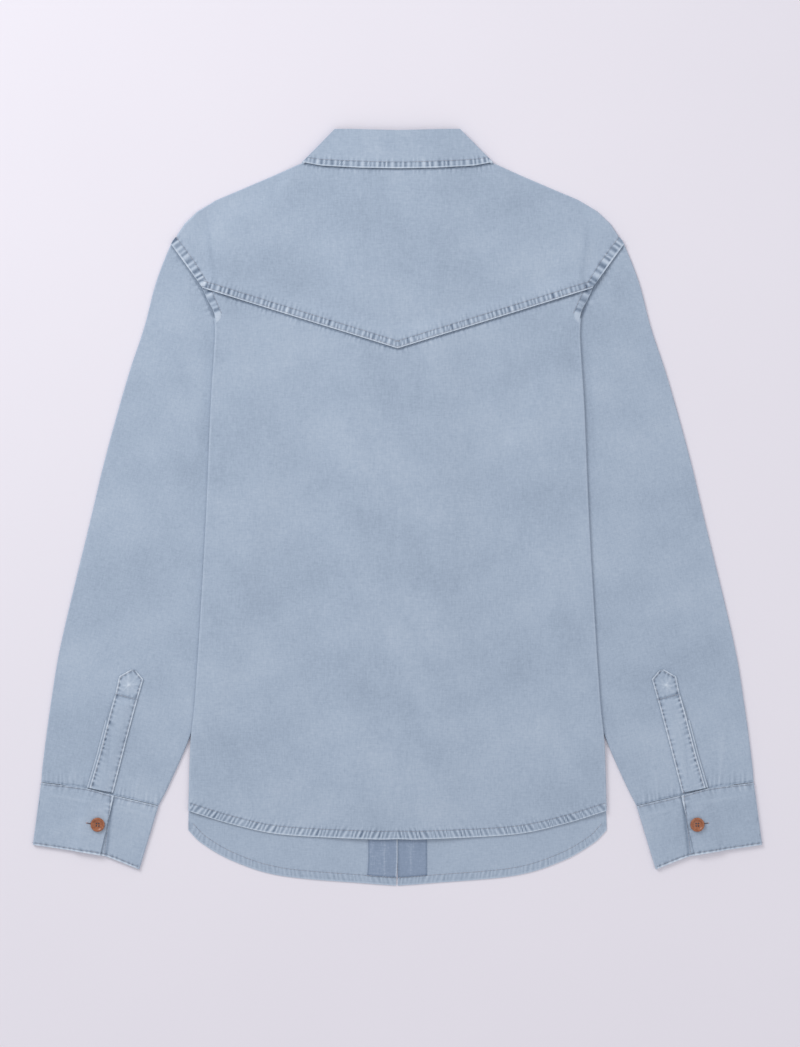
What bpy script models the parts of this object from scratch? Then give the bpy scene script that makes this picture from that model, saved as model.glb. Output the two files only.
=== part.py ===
"""A denim shirt with a pointed western yoke, laid out flat and face down.

Every cut piece is one closed wall of cloth, built from two grids of points: the outer side of the
cloth and its inner side. Tables and sizes are in millimetres and the meshes are in metres. +Y runs
from the hem to the collar, +X is the wearer's right and +Z points up from the surface that the
shirt lies on, at z = 0. The shirt is the same on both sides of x = 0, apart from its front edges.
"""

import math
from typing import Callable, NamedTuple, Sequence

import bpy
import numpy as np

MM = 0.001

# Cloth and stacking
CLOTH = 1.1  # thickness of one wall
GAP = 0.3  # clear space between two walls
PLY = CLOTH + GAP
CUFF_CLOTH = 1.5  # a cuff is two cloths and an interlining
CUFF_PLY = CUFF_CLOTH + GAP
ARC_STEPS = 4  # facets round a fold

# Buttons
BUTTON_RADIUS = 7.1
BUTTON_HEIGHT = 2.4
BUTTON_RIM = 1.7
BUTTON_DISH = 0.6
BUTTON_FACETS = 20
FRONT_BUTTONS = 6
TOP_BUTTON_Y = 248.0
LOWEST_BUTTON_Y = -185.0
COLLAR_BUTTON_Y = 306.0
CUFF_BUTTON = (299.2, -316.3)

# Heights of the undersides of the stacked walls
UNDER_BACK = 2 * PLY  # the back's turned-under side, on two sleeve walls
SIDE_LEVEL = 3 * PLY  # the back's upper wall at its side folds
OVERLAP_RIGHT = BUTTON_HEIGHT + GAP  # the right front edge, on the buttons
OVERLAP_LEFT = OVERLAP_RIGHT + PLY  # the left front edge, on the right one
CENTRE_LEVEL = OVERLAP_LEFT + PLY
BODY_LEVEL = 2 * PLY  # the back between its centre and its sides
LEAF_LEVEL = 3 * PLY + 0.4  # the collar's leaf, over the stand and the yoke
FACING_CLEAR = PLY + 0.15  # a facing's underside above its front's

# Centre front
OVERLAP_HALF = 15.0  # half of the buttoned overlap
FACING_WIDTH = 29.0
FACING_TOP = -300.0
FACING_FOOT = 8.0  # left bare for the turned hem

# Yoke and hem
YOKE_POINT_Y = 159.0  # the yoke's lower edge at the centre
YOKE_RISE = 56.5 / 182.0  # rise of that edge for each unit of width
YOKE_LAP = 7.0  # how far the yoke lies over the back panel
YOKE_CLEAR = PLY + 0.2  # how far its underside is above the back panel's there
YOKE_STEP_START = 8.0  # above its edge the yoke comes down between these two distances
YOKE_STEP_END = 24.0
NECK_SIDE_X = 79.5
HEM_BACK_SIDE_Y = -303.0
UNDERARM_Y = 68.0
FOLD_TOP_Y = 190.0  # where the armhole seam goes under the side fold
SEAM_LAP = 7.0  # how far the back laps over the front at the side seam

# Sleeve placket and cuff
PLACKET_WIDTH_STEP = 2.6  # what shows of the binding beside the placket
BINDING_WIDTH = 12.0
CUFF_WIDTH = 118.0
CUFF_UNDERLAP = 22.0
CUFF_RAMP = 12.0


class Spot(NamedTuple):
    """A point of an outline on the right half of the shirt."""

    x: float
    y: float


class YokeColumn(NamedTuple):
    """One line of the yoke, from its lower edge to the neck seam or the shoulder fold."""

    seam_x: float
    top_x: float
    top_y: float


class CollarColumn(NamedTuple):
    """One line across the stand or the leaf, from its lower or outer edge to its upper one."""

    edge_x: float
    edge_y: float
    roll_x: float
    roll_y: float


# Outlines, right half
ARMHOLE = (
    Spot(222.0, 270.0), Spot(206.2, 248.5), Spot(192.4, 226.0), Spot(183.0, 200.0),
    Spot(173.0, 168.0), Spot(160.0, 132.0), Spot(146.0, 98.0), Spot(130.0, UNDERARM_Y),
)
SLEEVE_OUTER = (
    Spot(222.0, 270.0), Spot(226.5, 263.4), Spot(241.5, 224.6), Spot(253.0, 180.6),
    Spot(270.0, 129.0), Spot(291.5, 52.0), Spot(306.8, -12.0), Spot(335.5, -132.0),
    Spot(346.5, -196.0), Spot(354.0, -252.0), Spot(356.0, -274.0),
)
SLEEVE_INNER = (
    Spot(130.0, UNDERARM_Y), Spot(145.0, -2.0), Spot(162.0, -76.0), Spot(182.0, -154.0),
    Spot(205.4, -224.0), Spot(226.5, -273.0), Spot(238.6, -297.3),
)
SIDE_FOLD = (
    Spot(197.5, 222.0), Spot(190.5, 207.0), Spot(184.5, 195.0), Spot(182.6, 180.0),
    Spot(183.0, 160.0), Spot(186.8, 100.0), Spot(191.2, -5.0), Spot(196.5, -100.0),
    Spot(202.5, -192.0), Spot(207.0, -237.0), Spot(209.0, HEM_BACK_SIDE_Y),
)
FRONT_SIDE = (
    Spot(209.0, -322.5), Spot(208.5, -303.0), Spot(205.0, -265.0), Spot(197.0, -224.0),
    Spot(177.0, -154.0), Spot(157.0, -76.0), Spot(140.0, -2.0), Spot(129.2, UNDERARM_Y - 1.0),
)
FRONT_HEM = (
    Spot(0.0, -377.8), Spot(31.0, -375.5), Spot(115.9, -368.0), Spot(163.7, -353.6),
    Spot(195.0, -336.0), Spot(209.0, -322.5),
)
BACK_HEM = (
    Spot(0.0, -331.0), Spot(29.8, -331.0), Spot(115.9, -326.5), Spot(166.9, -316.0),
    Spot(209.0, HEM_BACK_SIDE_Y),
)
NECK_FRONT = (
    Spot(0.0, 290.0), Spot(25.0, 292.0), Spot(52.0, 303.5), Spot(67.0, 315.5), Spot(74.5, 325.6),
)
YOKE_FOLD_LINE = (  # where the upper side of the body starts to fall towards the sleeve
    Spot(182.5, 190.0), Spot(182.4, 228.0), Spot(185.5, 250.0), Spot(192.4, 285.0),
)
YOKE_COLUMNS = (
    YokeColumn(0.0, 0.0, 344.0),
    YokeColumn(30.0, 22.0, 344.2),
    YokeColumn(60.0, 44.0, 345.2),
    YokeColumn(86.0, 64.0, 347.4),
    YokeColumn(105.0, NECK_SIDE_X, 350.9),
    YokeColumn(121.0, 96.8, 343.8),
    YokeColumn(137.0, 118.0, 334.4),
    YokeColumn(154.0, 150.0, 320.6),
    YokeColumn(168.0, 181.0, 307.5),
    YokeColumn(177.0, 200.0, 296.0),
    YokeColumn(183.0, 212.5, 284.0),
    YokeColumn(187.5, 221.0, 271.3),
    YokeColumn(194.5, 226.4, 263.4),
)
NECK_COLUMN = 4  # the yoke's columns from here on turn under at the shoulder
ARM_COLUMN = 11  # and up to here
STAND_FRONT = (  # from the centre front to the side fold
    CollarColumn(12.0, 291.3, 12.0, 321.6),
    CollarColumn(26.0, 293.6, 23.0, 324.6),
    CollarColumn(53.0, 305.6, 41.5, 338.0),
    CollarColumn(72.5, 330.0, 52.5, 355.0),
    CollarColumn(76.4, 352.0, 60.6, 375.6),
)
STAND_BACK = (  # from the side fold to the centre back
    CollarColumn(76.4, 352.0, 60.6, 375.6),
    CollarColumn(62.0, 348.4, 50.0, 375.4),
    CollarColumn(31.0, 345.6, 25.0, 374.9),
    CollarColumn(0.0, 344.9, 0.0, 374.7),
)
LEAF_FRONT = (
    CollarColumn(56.0, 262.0, 6.5, 322.6),
    CollarColumn(67.0, 279.0, 25.0, 327.0),
    CollarColumn(79.0, 302.0, 44.0, 341.0),
    CollarColumn(89.0, 328.0, 56.0, 359.0),
    CollarColumn(94.6, 346.0, 63.0, 378.0),
)
LEAF_BACK = (
    CollarColumn(94.6, 346.0, 63.0, 378.0),
    CollarColumn(76.0, 342.2, 50.0, 377.8),
    CollarColumn(38.0, 339.6, 25.0, 377.0),
    CollarColumn(0.0, 339.0, 0.0, 376.6),
)
PLACKET = (  # round the sleeve placket, from its lower outer corner
    Spot(307.6, -279.9), Spot(297.5, -245.0), Spot(287.5, -206.0), Spot(278.2, -168.3),
    Spot(263.5, -160.0), Spot(254.0, -171.3), Spot(262.5, -201.0), Spot(271.8, -236.0),
    Spot(284.3, -284.6),
)
CUFF_TOP = (Spot(356.1, -274.7), Spot(310.0, -280.3), Spot(284.5, -287.2), Spot(238.9, -298.0))
CUFF_FOOT = (Spot(364.4, -336.6), Spot(325.0, -342.5), Spot(291.0, -348.3), Spot(258.0, -361.3))
CUFF_EDGE_AT = 0.62  # the overlap's edge, as a fraction of the cuff's width from its outer fold

# Materials: colour and roughness
DENIM = ((0.37, 0.45, 0.55), 0.9)
DENIM_INSIDE = ((0.27, 0.34, 0.46), 0.9)
DENIM_TRIM = ((0.40, 0.48, 0.58), 0.88)
HORN = ((0.28, 0.11, 0.05), 0.35)

Point = tuple[float, float, float]
Grid = list[list[Point]]
Pair = tuple[Point, Point]


def smooth(low: float, high: float, value: float) -> float:
    """Rises softly from 0 at low to 1 at high."""
    part = min(max((value - low) / (high - low), 0.0), 1.0)
    return part * part * (3.0 - 2.0 * part)


def lerp(start: float, end: float, part: float) -> float:
    """The value that lies part of the way from start to end."""
    return start + (end - start) * part


def route(spots: Sequence[Spot], steps: int = 8) -> np.ndarray:
    """Points of a smooth curve through the spots, as an array of x and y."""
    knots = np.array(spots, float)
    ends = np.vstack([2 * knots[0] - knots[1], knots, 2 * knots[-1] - knots[-2]])
    points = []
    for index in range(1, len(ends) - 2):
        before, start, end, after = ends[index - 1 : index + 3]
        for step in range(steps):
            part = step / steps
            slope = end - before
            bend = 2 * before - 5 * start + 4 * end - after
            twist = 3 * start - before - 3 * end + after
            points.append(start + 0.5 * part * (slope + part * (bend + part * twist)))
    points.append(knots[-1])
    return np.array(points)


def at_fraction(curve: np.ndarray, part: float) -> Spot:
    """The point at this fraction of a curve's length."""
    lengths = np.hypot(*np.diff(curve, axis=0).T)
    travelled = np.concatenate([[0.0], np.cumsum(lengths)]) / lengths.sum()
    x, y = (float(np.interp(part, travelled, curve[:, axis])) for axis in (0, 1))
    return Spot(x, y)


def x_at(curve: np.ndarray, y: float) -> float:
    """The x of a curve at this y."""
    order = np.argsort(curve[:, 1])
    return float(np.interp(y, curve[order, 1], curve[order, 0]))


def y_at(curve: np.ndarray, x: float) -> float:
    """The y of a curve at this x."""
    order = np.argsort(curve[:, 0])
    return float(np.interp(x, curve[order, 0], curve[order, 1]))


ARMHOLE_ROUTE = route(ARMHOLE)
OUTER_ROUTE = route(SLEEVE_OUTER)
INNER_ROUTE = route(SLEEVE_INNER)
FOLD_ROUTE = route(SIDE_FOLD)
FRONT_SIDE_ROUTE = route(FRONT_SIDE)
FRONT_HEM_ROUTE = route(FRONT_HEM)
BACK_HEM_ROUTE = route(BACK_HEM)
NECK_FRONT_ROUTE = route(NECK_FRONT)
YOKE_FOLD_ROUTE = route(YOKE_FOLD_LINE)


# Meshes


def add_object(name: str, points: Sequence[Point], faces: Sequence[Sequence[int]], finish) -> None:
    """Makes one object with its own material from points in millimetres."""
    mesh = bpy.data.meshes.new(name)
    mesh.from_pydata([(x * MM, y * MM, z * MM) for x, y, z in points], [], faces)
    mesh.validate()
    colour, roughness = finish
    material = bpy.data.materials.new(name)
    material.use_nodes = True
    shader = material.node_tree.nodes["Principled BSDF"]
    shader.inputs["Base Color"].default_value = (*colour, 1.0)
    shader.inputs["Roughness"].default_value = roughness
    shader.inputs["Metallic"].default_value = 0.0
    mesh.materials.append(material)
    mesh.shade_smooth()
    mesh.set_sharp_from_angle(angle=math.radians(40.0))
    bpy.context.scene.collection.objects.link(bpy.data.objects.new(name, mesh))


def wall(
    name: str, outer: Grid, inner: Grid, finish, closed: bool = False, keep=None, turned: bool = False,
) -> None:
    """Makes a closed wall between two grids of points.

    closed joins the first column to the last, as round a tube. keep(row, column) says which cells
    are cloth. turned swaps the direction of the faces, for a grid that runs the other way round.
    """
    rows = len(outer)
    columns = len(outer[0])
    used: dict[tuple[int, int, int], int] = {}
    points: list[Point] = []
    faces: list[list[int]] = []

    def corner(side: int, row: int, column: int) -> int:
        key = (side, row, column % columns)
        if key not in used:
            used[key] = len(points)
            points.append((outer, inner)[side][row][column % columns])
        return used[key]

    def add(corners: list[int]) -> None:
        faces.append(corners[::-1] if turned else corners)

    spans = columns if closed else columns - 1
    every = [(row, column) for row in range(rows - 1) for column in range(spans)]
    cells = {cell for cell in every if keep is None or keep(*cell)}
    for row, column in sorted(cells):
        ring = [(row, column), (row, column + 1), (row + 1, column + 1), (row + 1, column)]
        add([corner(0, *place) for place in ring])
        add([corner(1, *place) for place in reversed(ring)])
        beyond = [(row - 1, column), (row, column + 1), (row + 1, column), (row, column - 1)]
        for side, (next_row, next_column) in enumerate(beyond):
            neighbour = (next_row, next_column % spans if closed else next_column)
            if neighbour in cells:
                continue
            start = ring[side]
            end = ring[(side + 1) % 4]
            add([corner(0, *end), corner(0, *start), corner(1, *start), corner(1, *end)])
    add_object(name, points, faces, finish)


def mirrored(grid: Grid) -> Grid:
    """The same grid on the other side of x = 0."""
    return [[(-x, y, z) for x, y, z in row] for row in grid]


def split(pairs: Sequence[Sequence[Pair]]) -> tuple[Grid, Grid]:
    """A grid of outer and inner points, as two grids."""
    return [[pair[0] for pair in row] for row in pairs], [[pair[1] for pair in row] for row in pairs]


def fold_arc(edge: Spot, outward: Spot, low: float, high: float, cloth: float = CLOTH) -> list[Pair]:
    """Points round a fold, from the upper wall to the lower one.

    edge is where the fold shows from above and outward is the level direction that it bulges in.
    low and high are the heights of the undersides of the two walls that it joins.
    """
    length = math.hypot(*outward)
    nx, ny = outward.x / length, outward.y / length
    radius = (high + cloth - low) / 2
    z = low + radius
    pairs = []
    for step in range(ARC_STEPS + 1):
        angle = math.pi / 2 - math.pi * step / ARC_STEPS
        ring = []
        for reach in (radius, radius - cloth):
            level = reach * math.cos(angle) - radius
            ring.append((edge.x + nx * level, edge.y + ny * level, z + reach * math.sin(angle)))
        pairs.append((ring[0], ring[1]))
    return pairs


def upper(x: float, y: float, z: float, cloth: float = CLOTH) -> Pair:
    """Outer and inner point of a wall that faces up, with its underside at z."""
    return (x, y, z + cloth), (x, y, z)


def lower(x: float, y: float, z: float, cloth: float = CLOTH) -> Pair:
    """Outer and inner point of a wall that faces down, with its underside at z."""
    return (x, y, z), (x, y, z + cloth)


# Heights


def wing_lift(x: float, y: float) -> float:
    """How far the collar's front wings hold the cloth above them off the surface."""
    return PLY * (1.0 - smooth(104.0, 122.0, abs(x))) * smooth(188.0, 232.0, y)


def left_lift(y: float) -> float:
    """Height of the left front edge, which climbs from the hem on to the right one."""
    return OVERLAP_LEFT * smooth(-325.0, -255.0, y)


def front_level(side: int, x: float, y: float) -> float:
    """Underside of a front: side is 1 on the wearer's right and -1 on the left."""
    if side > 0:
        ridge = OVERLAP_RIGHT * smooth(-255.0, -200.0, y) * (1.0 - smooth(9.0, 42.0, x))
    else:
        ridge = left_lift(y) * smooth(-48.0, -17.0, x)
    return max(ridge, wing_lift(x, y))


def side_line(y: float) -> float:
    """The x beyond which more cloth lies under the back: the side seam, then the armhole."""
    return x_at(FRONT_SIDE_ROUTE, y) if y < UNDERARM_Y else x_at(ARMHOLE_ROUTE, y)


def under_level(y: float) -> float:
    """Underside of the back's turned-under side, which comes down below the sleeve."""
    return lerp(PLY, UNDER_BACK, smooth(-258.0, -228.0, y))


def crown(x: float) -> float:
    """How far the buttoned front edges hold the back off its common level."""
    return (CENTRE_LEVEL - BODY_LEVEL) * (1.0 - smooth(33.0, 85.0, abs(x)))


def back_level(x: float, y: float) -> float:
    """Underside of the back's upper wall."""
    reach = abs(x)
    middle = lerp(PLY, BODY_LEVEL, smooth(-330.0, -250.0, y))
    facing = (FACING_CLEAR + 0.15) * (1.0 - smooth(-298.0, -265.0, y))
    centre = max(PLY + left_lift(y) + facing, middle)
    side = under_level(y) + PLY
    near_side = smooth(side_line(y) - 30.0, side_line(y) - 0.5, reach)
    past_fold = smooth(-1.0, 8.0, reach - x_at(YOKE_FOLD_ROUTE, y)) * smooth(186.0, 196.0, y)
    level = middle + (centre - middle) * (1.0 - smooth(33.0, 85.0, reach))
    level += (side - level) * near_side
    return lerp(level, BODY_LEVEL, past_fold)


def yoke_seam_y(x: float) -> float:
    """The yoke's lower edge."""
    return YOKE_POINT_Y + YOKE_RISE * abs(x)


def shoulder_levels(x: float) -> tuple[float, float]:
    """Undersides of the yoke's turned-under wall and of its upper wall at the shoulder fold."""
    under = PLY * (1.0 - smooth(104.0, 122.0, x))
    over = PLY + under + PLY * smooth(184.0, 204.0, x)
    return under, over


def yoke_turn_end(index: int) -> Spot:
    """Where a column of the yoke ends on the underside, at the seam with the front."""
    column = YOKE_COLUMNS[min(max(index, NECK_COLUMN), ARM_COLUMN)]
    along = (index - NECK_COLUMN) / (ARM_COLUMN - NECK_COLUMN)
    return Spot(column.top_x + lerp(-5.0, -15.6, along), column.top_y + lerp(-24.5, -21.2, along))


def yoke_level(x: float, y: float, to_fold: float) -> float:
    """Underside of the yoke's upper wall, at a distance from the shoulder fold or the neck seam."""
    reach = abs(x)
    fold_x = x_at(YOKE_FOLD_ROUTE, y)
    ridge = smooth(fold_x - 40.0, fold_x - 6.0, reach) * (1.0 - smooth(-1.0, 8.0, reach - fold_x))
    level = BODY_LEVEL + crown(x) + PLY * ridge * (1.0 - smooth(240.0, 285.0, y))
    if reach > NECK_SIDE_X:
        over = shoulder_levels(reach)[1]
        level = lerp(level, over, 1.0 - smooth(3.0, 34.0, to_fold))
    above_seam = y - yoke_seam_y(x)
    return level + YOKE_CLEAR * (1.0 - smooth(YOKE_STEP_START, YOKE_STEP_END, above_seam))


# Pieces


def front_edge_x(side: int, y: float) -> float:
    """The front's centre edge: side by side at the hem, and overlapped from there up."""
    lap = OVERLAP_HALF * smooth(-284.0, -228.0, y)
    notch = 1.6 * (1.0 - smooth(-378.0, -350.0, y))
    return -side * lap + (0.3 if side > 0 else -0.3 - notch)


def front_panel(side: int, name: str) -> None:
    """One front, as a patch between its centre edge, hem, side and armhole, and neck and shoulder."""
    across = (0.0, 0.09, 0.18, 0.27, 0.38, 0.5, 0.62, 0.74, 0.87, 1.0)
    hem_up = (0.0, 0.04, 0.09, 0.14, 0.2, 0.27, 0.35, 0.43, 0.52, 0.62, 0.68, 0.74, 0.8, 0.865, 0.93, 1.0)
    neck_share = 0.5
    under_arm = 0.62
    turn_ends = [yoke_turn_end(index) for index in range(NECK_COLUMN, ARM_COLUMN + 1)]
    shoulder = np.array(turn_ends, float) - np.array([0.0, 0.8])
    shoulder_end = Spot(*shoulder[-1])
    armhole = ARMHOLE_ROUTE + np.array([-1.3, 0.7])
    armhole = armhole[armhole[:, 1] < shoulder_end.y]
    neck_end = Spot(*shoulder[0])

    def top(part: float) -> Spot:
        if part <= neck_share:
            start = front_edge_x(side, 290.0) * side
            x = lerp(start, neck_end.x, part / neck_share)
            return Spot(x, y_at(NECK_FRONT_ROUTE, max(x, 0.0)))
        return at_fraction(shoulder, (part - neck_share) / (1.0 - neck_share))

    def bottom(part: float) -> Spot:
        start = front_edge_x(side, -378.0) * side
        x = lerp(start, FRONT_HEM[-1].x, part)
        return Spot(x, y_at(FRONT_HEM_ROUTE, max(x, 0.0)))

    def outside(part: float) -> Spot:
        if part <= under_arm:
            return at_fraction(FRONT_SIDE_ROUTE, part / under_arm)
        curve = np.vstack([[shoulder_end], armhole])
        return at_fraction(curve, 1.0 - (part - under_arm) / (1.0 - under_arm))

    def inside(part: float) -> Spot:
        y = lerp(-377.8, 290.0, part)
        return Spot(front_edge_x(side, y) * side, y)

    pairs = []
    for v in hem_up:
        row = []
        for u in across:
            spot = []
            for axis in (0, 1):
                value = lerp(bottom(u)[axis], top(u)[axis], v) + lerp(inside(v)[axis], outside(v)[axis], u)
                low = lerp(bottom(0.0)[axis], bottom(1.0)[axis], u)
                high = lerp(top(0.0)[axis], top(1.0)[axis], u)
                spot.append(value - lerp(low, high, v))
            x, y = spot[0] * side, spot[1]
            row.append(lower(x, y, front_level(side, x, y)))
        pairs.append(row)
    wall(name, *split(pairs), DENIM, turned=side > 0)


def facing(side: int, name: str) -> None:
    """The strip that backs a front edge, from above the hem to where the back covers it."""
    pairs = []
    for v in (0.0, 0.25, 0.5, 0.75, 1.0):
        row = []
        for u in (0.0, 0.35, 0.7, 1.0):
            edge = front_edge_x(side, lerp(-369.0, FACING_TOP, v))
            x = edge + side * (0.2 + u * FACING_WIDTH)
            y = lerp(y_at(FRONT_HEM_ROUTE, abs(x)) + FACING_FOOT, FACING_TOP, v)
            row.append(upper(x, y, front_level(side, edge, y) + FACING_CLEAR))
        pairs.append(row)
    wall(name, *split(pairs), DENIM_INSIDE, turned=side < 0)


def back_panel() -> None:
    """The back below the yoke, with both sides folded under to the side seams."""
    side_ys = (
        HEM_BACK_SIDE_Y, -285.0, -262.0, -238.0, -205.0, -160.0, -105.0, -45.0,
        15.0, 70.0, 120.0, 160.0, FOLD_TOP_Y, 206.0, 222.0,
    )
    folded_rows = side_ys.index(FOLD_TOP_Y)
    shares = (0.0, 0.1, 0.2, 0.32, 0.45, 0.58, 0.7, 0.8, 0.9, 1.0)

    def half(row: int) -> list[Pair]:
        """Upper wall from the centre out, the fold, and the turned-under wall."""
        side_y = side_ys[row]
        rise = (side_y - HEM_BACK_SIDE_Y) / (side_ys[-1] - HEM_BACK_SIDE_Y)
        fold_x = x_at(FOLD_ROUTE, side_y)
        turned_level = under_level(side_y)
        edge_level = back_level(fold_x, side_y) if side_y > FOLD_TOP_Y else turned_level + PLY
        arc = fold_arc(Spot(fold_x, side_y), Spot(1.0, 0.0), edge_level - PLY, edge_level)
        end_x = arc[0][0][0]
        pairs = []
        for share in shares[:-1]:
            x = share * end_x
            hem_y = y_at(BACK_HEM_ROUTE, x / end_x * BACK_HEM[-1].x)
            seam_y = yoke_seam_y(x) + YOKE_LAP
            low = hem_y - HEM_BACK_SIDE_Y
            high = seam_y - (yoke_seam_y(end_x) + YOKE_LAP)
            y = side_y + lerp(low, high, smooth(0.0, 1.0, rise))
            pairs.append(upper(x, y, back_level(x, y)))
        pairs += arc
        fold_share = (side_y - HEM_BACK_SIDE_Y) / (FOLD_TOP_Y - HEM_BACK_SIDE_Y)
        seam_y = lerp(HEM_BACK_SIDE_Y, UNDERARM_Y, fold_share)
        seam_x = min(x_at(FRONT_SIDE_ROUTE, seam_y), fold_x - 5.0)
        start_x = arc[-1][0][0]
        for part in (0.5, 1.0):
            pairs.append(lower(lerp(start_x, seam_x, part), lerp(side_y, seam_y, part), turned_level))
        pairs.append(lower(seam_x - SEAM_LAP, seam_y - 1.0, PLY))
        return pairs

    pairs = []
    for row in range(len(side_ys)):
        right = half(row)
        left = [((-a[0], a[1], a[2]), (-b[0], b[1], b[2])) for a, b in right]
        pairs.append(left[:0:-1] + right)
    columns = len(pairs[0])
    flat_end = columns - 1 - (ARC_STEPS + 3)

    def cloth(row: int, column: int) -> bool:
        on_top = columns - 1 - flat_end <= column < flat_end
        return on_top or row < folded_rows

    wall("back_panel", *split(pairs), DENIM, keep=cloth)


def back_yoke() -> None:
    """The pointed yoke, lapped over the back, turned under at the shoulders and open at the neck."""
    shares_up = (0.4, 0.6, 0.8)

    def column_pairs(index: int) -> list[Pair]:
        """From the lower edge up to the fold or the neck, round it and under."""
        column = YOKE_COLUMNS[index]
        seam = Spot(column.seam_x, yoke_seam_y(column.seam_x))
        at_neck = index < NECK_COLUMN
        at_arm = index > ARM_COLUMN
        under, over = shoulder_levels(column.top_x)
        nearest = min(max(index, NECK_COLUMN), ARM_COLUMN)
        before = YOKE_COLUMNS[max(nearest - 1, NECK_COLUMN)]
        after = YOKE_COLUMNS[min(nearest + 1, ARM_COLUMN)]
        outward = Spot(before.top_y - after.top_y, after.top_x - before.top_x)
        arc = fold_arc(Spot(column.top_x, column.top_y), outward, under, over)
        top = Spot(column.top_x, column.top_y) if at_neck or at_arm else Spot(*arc[0][0][:2])
        length = math.hypot(top.x - seam.x, top.y - seam.y)
        pairs = []
        for part in (0.0, YOKE_STEP_START / length, YOKE_STEP_END / length, *shares_up):
            x = lerp(seam.x, top.x, part)
            y = lerp(seam.y, top.y, part)
            pairs.append(upper(x, y, yoke_level(x, y, length * (1.0 - part))))
        if at_neck:
            over = BODY_LEVEL + crown(column.top_x)
        pairs += arc if not (at_neck or at_arm) else [upper(top.x, top.y, over)] * len(arc)
        end = yoke_turn_end(index)
        for part in (0.5, 1.0):
            x = lerp(top.x, end.x, part)
            y = lerp(top.y, end.y, part)
            pairs.append(lower(x, y, under))
        return pairs

    right = [column_pairs(index) for index in range(len(YOKE_COLUMNS))]
    left = [[((-a[0], a[1], a[2]), (-b[0], b[1], b[2])) for a, b in column] for column in right[:0:-1]]
    columns = left + right
    pairs = [[column[row] for column in columns] for row in range(len(columns[0]))]
    flat_rows = len(shares_up) + 3
    centre = len(YOKE_COLUMNS) - 1

    def cloth(row: int, column: int) -> bool:
        reach = column - centre if column >= centre else centre - 1 - column
        return row < flat_rows or NECK_COLUMN <= reach < ARM_COLUMN

    wall("back_yoke", *split(pairs), DENIM, keep=cloth)


def sleeve_spot(along: float, across: float) -> Spot:
    """A point of the flat sleeve: along from the armhole to the cuff, across from its outer edge."""
    outer = at_fraction(OUTER_ROUTE, along)
    inner = at_fraction(INNER_ROUTE, along)
    bow = at_fraction(ARMHOLE_ROUTE, across)
    fade = (1.0 - along) ** 4
    x = lerp(outer.x, inner.x, across) + (bow.x - lerp(ARMHOLE[0].x, ARMHOLE[-1].x, across)) * fade
    y = lerp(outer.y, inner.y, across) + (bow.y - lerp(ARMHOLE[0].y, ARMHOLE[-1].y, across)) * fade
    cuff_line = y_at(route(CUFF_TOP), x) + 0.6 if along > 0.999 else y
    return Spot(x, cuff_line)


def sleeve(side: int, name: str) -> None:
    """A sleeve: a flattened tube, open at the armhole and at the cuff."""
    stations = (0.0, 0.05, 0.1, 0.16, 0.23, 0.3, 0.38, 0.46, 0.54, 0.62, 0.7, 0.78, 0.85, 0.92, 0.97, 1.0)
    inside = (0.1, 0.22, 0.36, 0.5, 0.66, 0.83)
    pairs = []
    for along in stations:
        outer = sleeve_spot(along, 0.0)
        inner = sleeve_spot(along, 1.0)
        out = Spot(outer.x - inner.x, outer.y - inner.y)
        back = Spot(-out.x, -out.y)
        ring = list(reversed(fold_arc(outer, out, 0.0, PLY)))
        ring += [upper(*sleeve_spot(along, part), PLY) for part in inside]
        ring += fold_arc(inner, back, 0.0, PLY)
        ring += [lower(*sleeve_spot(along, part), 0.0) for part in reversed(inside)]
        pairs.append(ring)
    outer_grid, inner_grid = split(pairs)
    if side < 0:
        outer_grid, inner_grid = mirrored(outer_grid), mirrored(inner_grid)
    wall(name, outer_grid, inner_grid, DENIM, closed=True, turned=side < 0)


def cuff_spot(across: float, down: float) -> Spot:
    """A point of the flat cuff: across from its outer fold, down from the sleeve."""
    top = at_fraction(np.array(CUFF_TOP, float), across)
    foot = at_fraction(np.array(CUFF_FOOT, float), across)
    return Spot(lerp(top.x, foot.x, down), lerp(top.y, foot.y, down))


def cuff(side: int, name: str) -> None:
    """A cuff: a thick band wound flat, with its outer end lying over its inner end."""
    over_end = CUFF_EDGE_AT
    under_end = over_end - CUFF_UNDERLAP / CUFF_WIDTH
    flat_start = under_end - CUFF_RAMP / CUFF_WIDTH
    pairs = []
    for down in (0.0, 0.5, 1.0):
        outer = cuff_spot(0.0, down)
        inner = cuff_spot(1.0, down)
        out = Spot(outer.x - inner.x, outer.y - inner.y)
        back = Spot(-out.x, -out.y)
        row = []
        for across in (over_end, (over_end + under_end) / 2, under_end - 0.01, flat_start, flat_start / 2):
            level = lerp(CUFF_PLY, 2 * CUFF_PLY, smooth(flat_start, under_end - 0.01, across))
            row.append(upper(*cuff_spot(across, down), level, CUFF_CLOTH))
        row += fold_arc(outer, out, 0.0, CUFF_PLY, CUFF_CLOTH)
        row += [lower(*cuff_spot(across, down), 0.0, CUFF_CLOTH) for across in (0.25, 0.5, 0.75)]
        row += list(reversed(fold_arc(inner, back, 0.0, CUFF_PLY, CUFF_CLOTH)))
        for across in (0.85, over_end, under_end):
            row.append(upper(*cuff_spot(across, down), CUFF_PLY, CUFF_CLOTH))
        pairs.append(row)
    outer_grid, inner_grid = split(pairs)
    if side < 0:
        outer_grid, inner_grid = mirrored(outer_grid), mirrored(inner_grid)
    wall(name, outer_grid, inner_grid, DENIM_TRIM, turned=side > 0)


def placket_halves() -> tuple[list[Spot], list[Spot]]:
    """The placket's outer and inner long edges, from the cuff up to its point."""
    outer = list(PLACKET[:5])
    inner = [PLACKET[8], PLACKET[7], PLACKET[6], PLACKET[5], PLACKET[4]]
    return outer, inner


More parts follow.
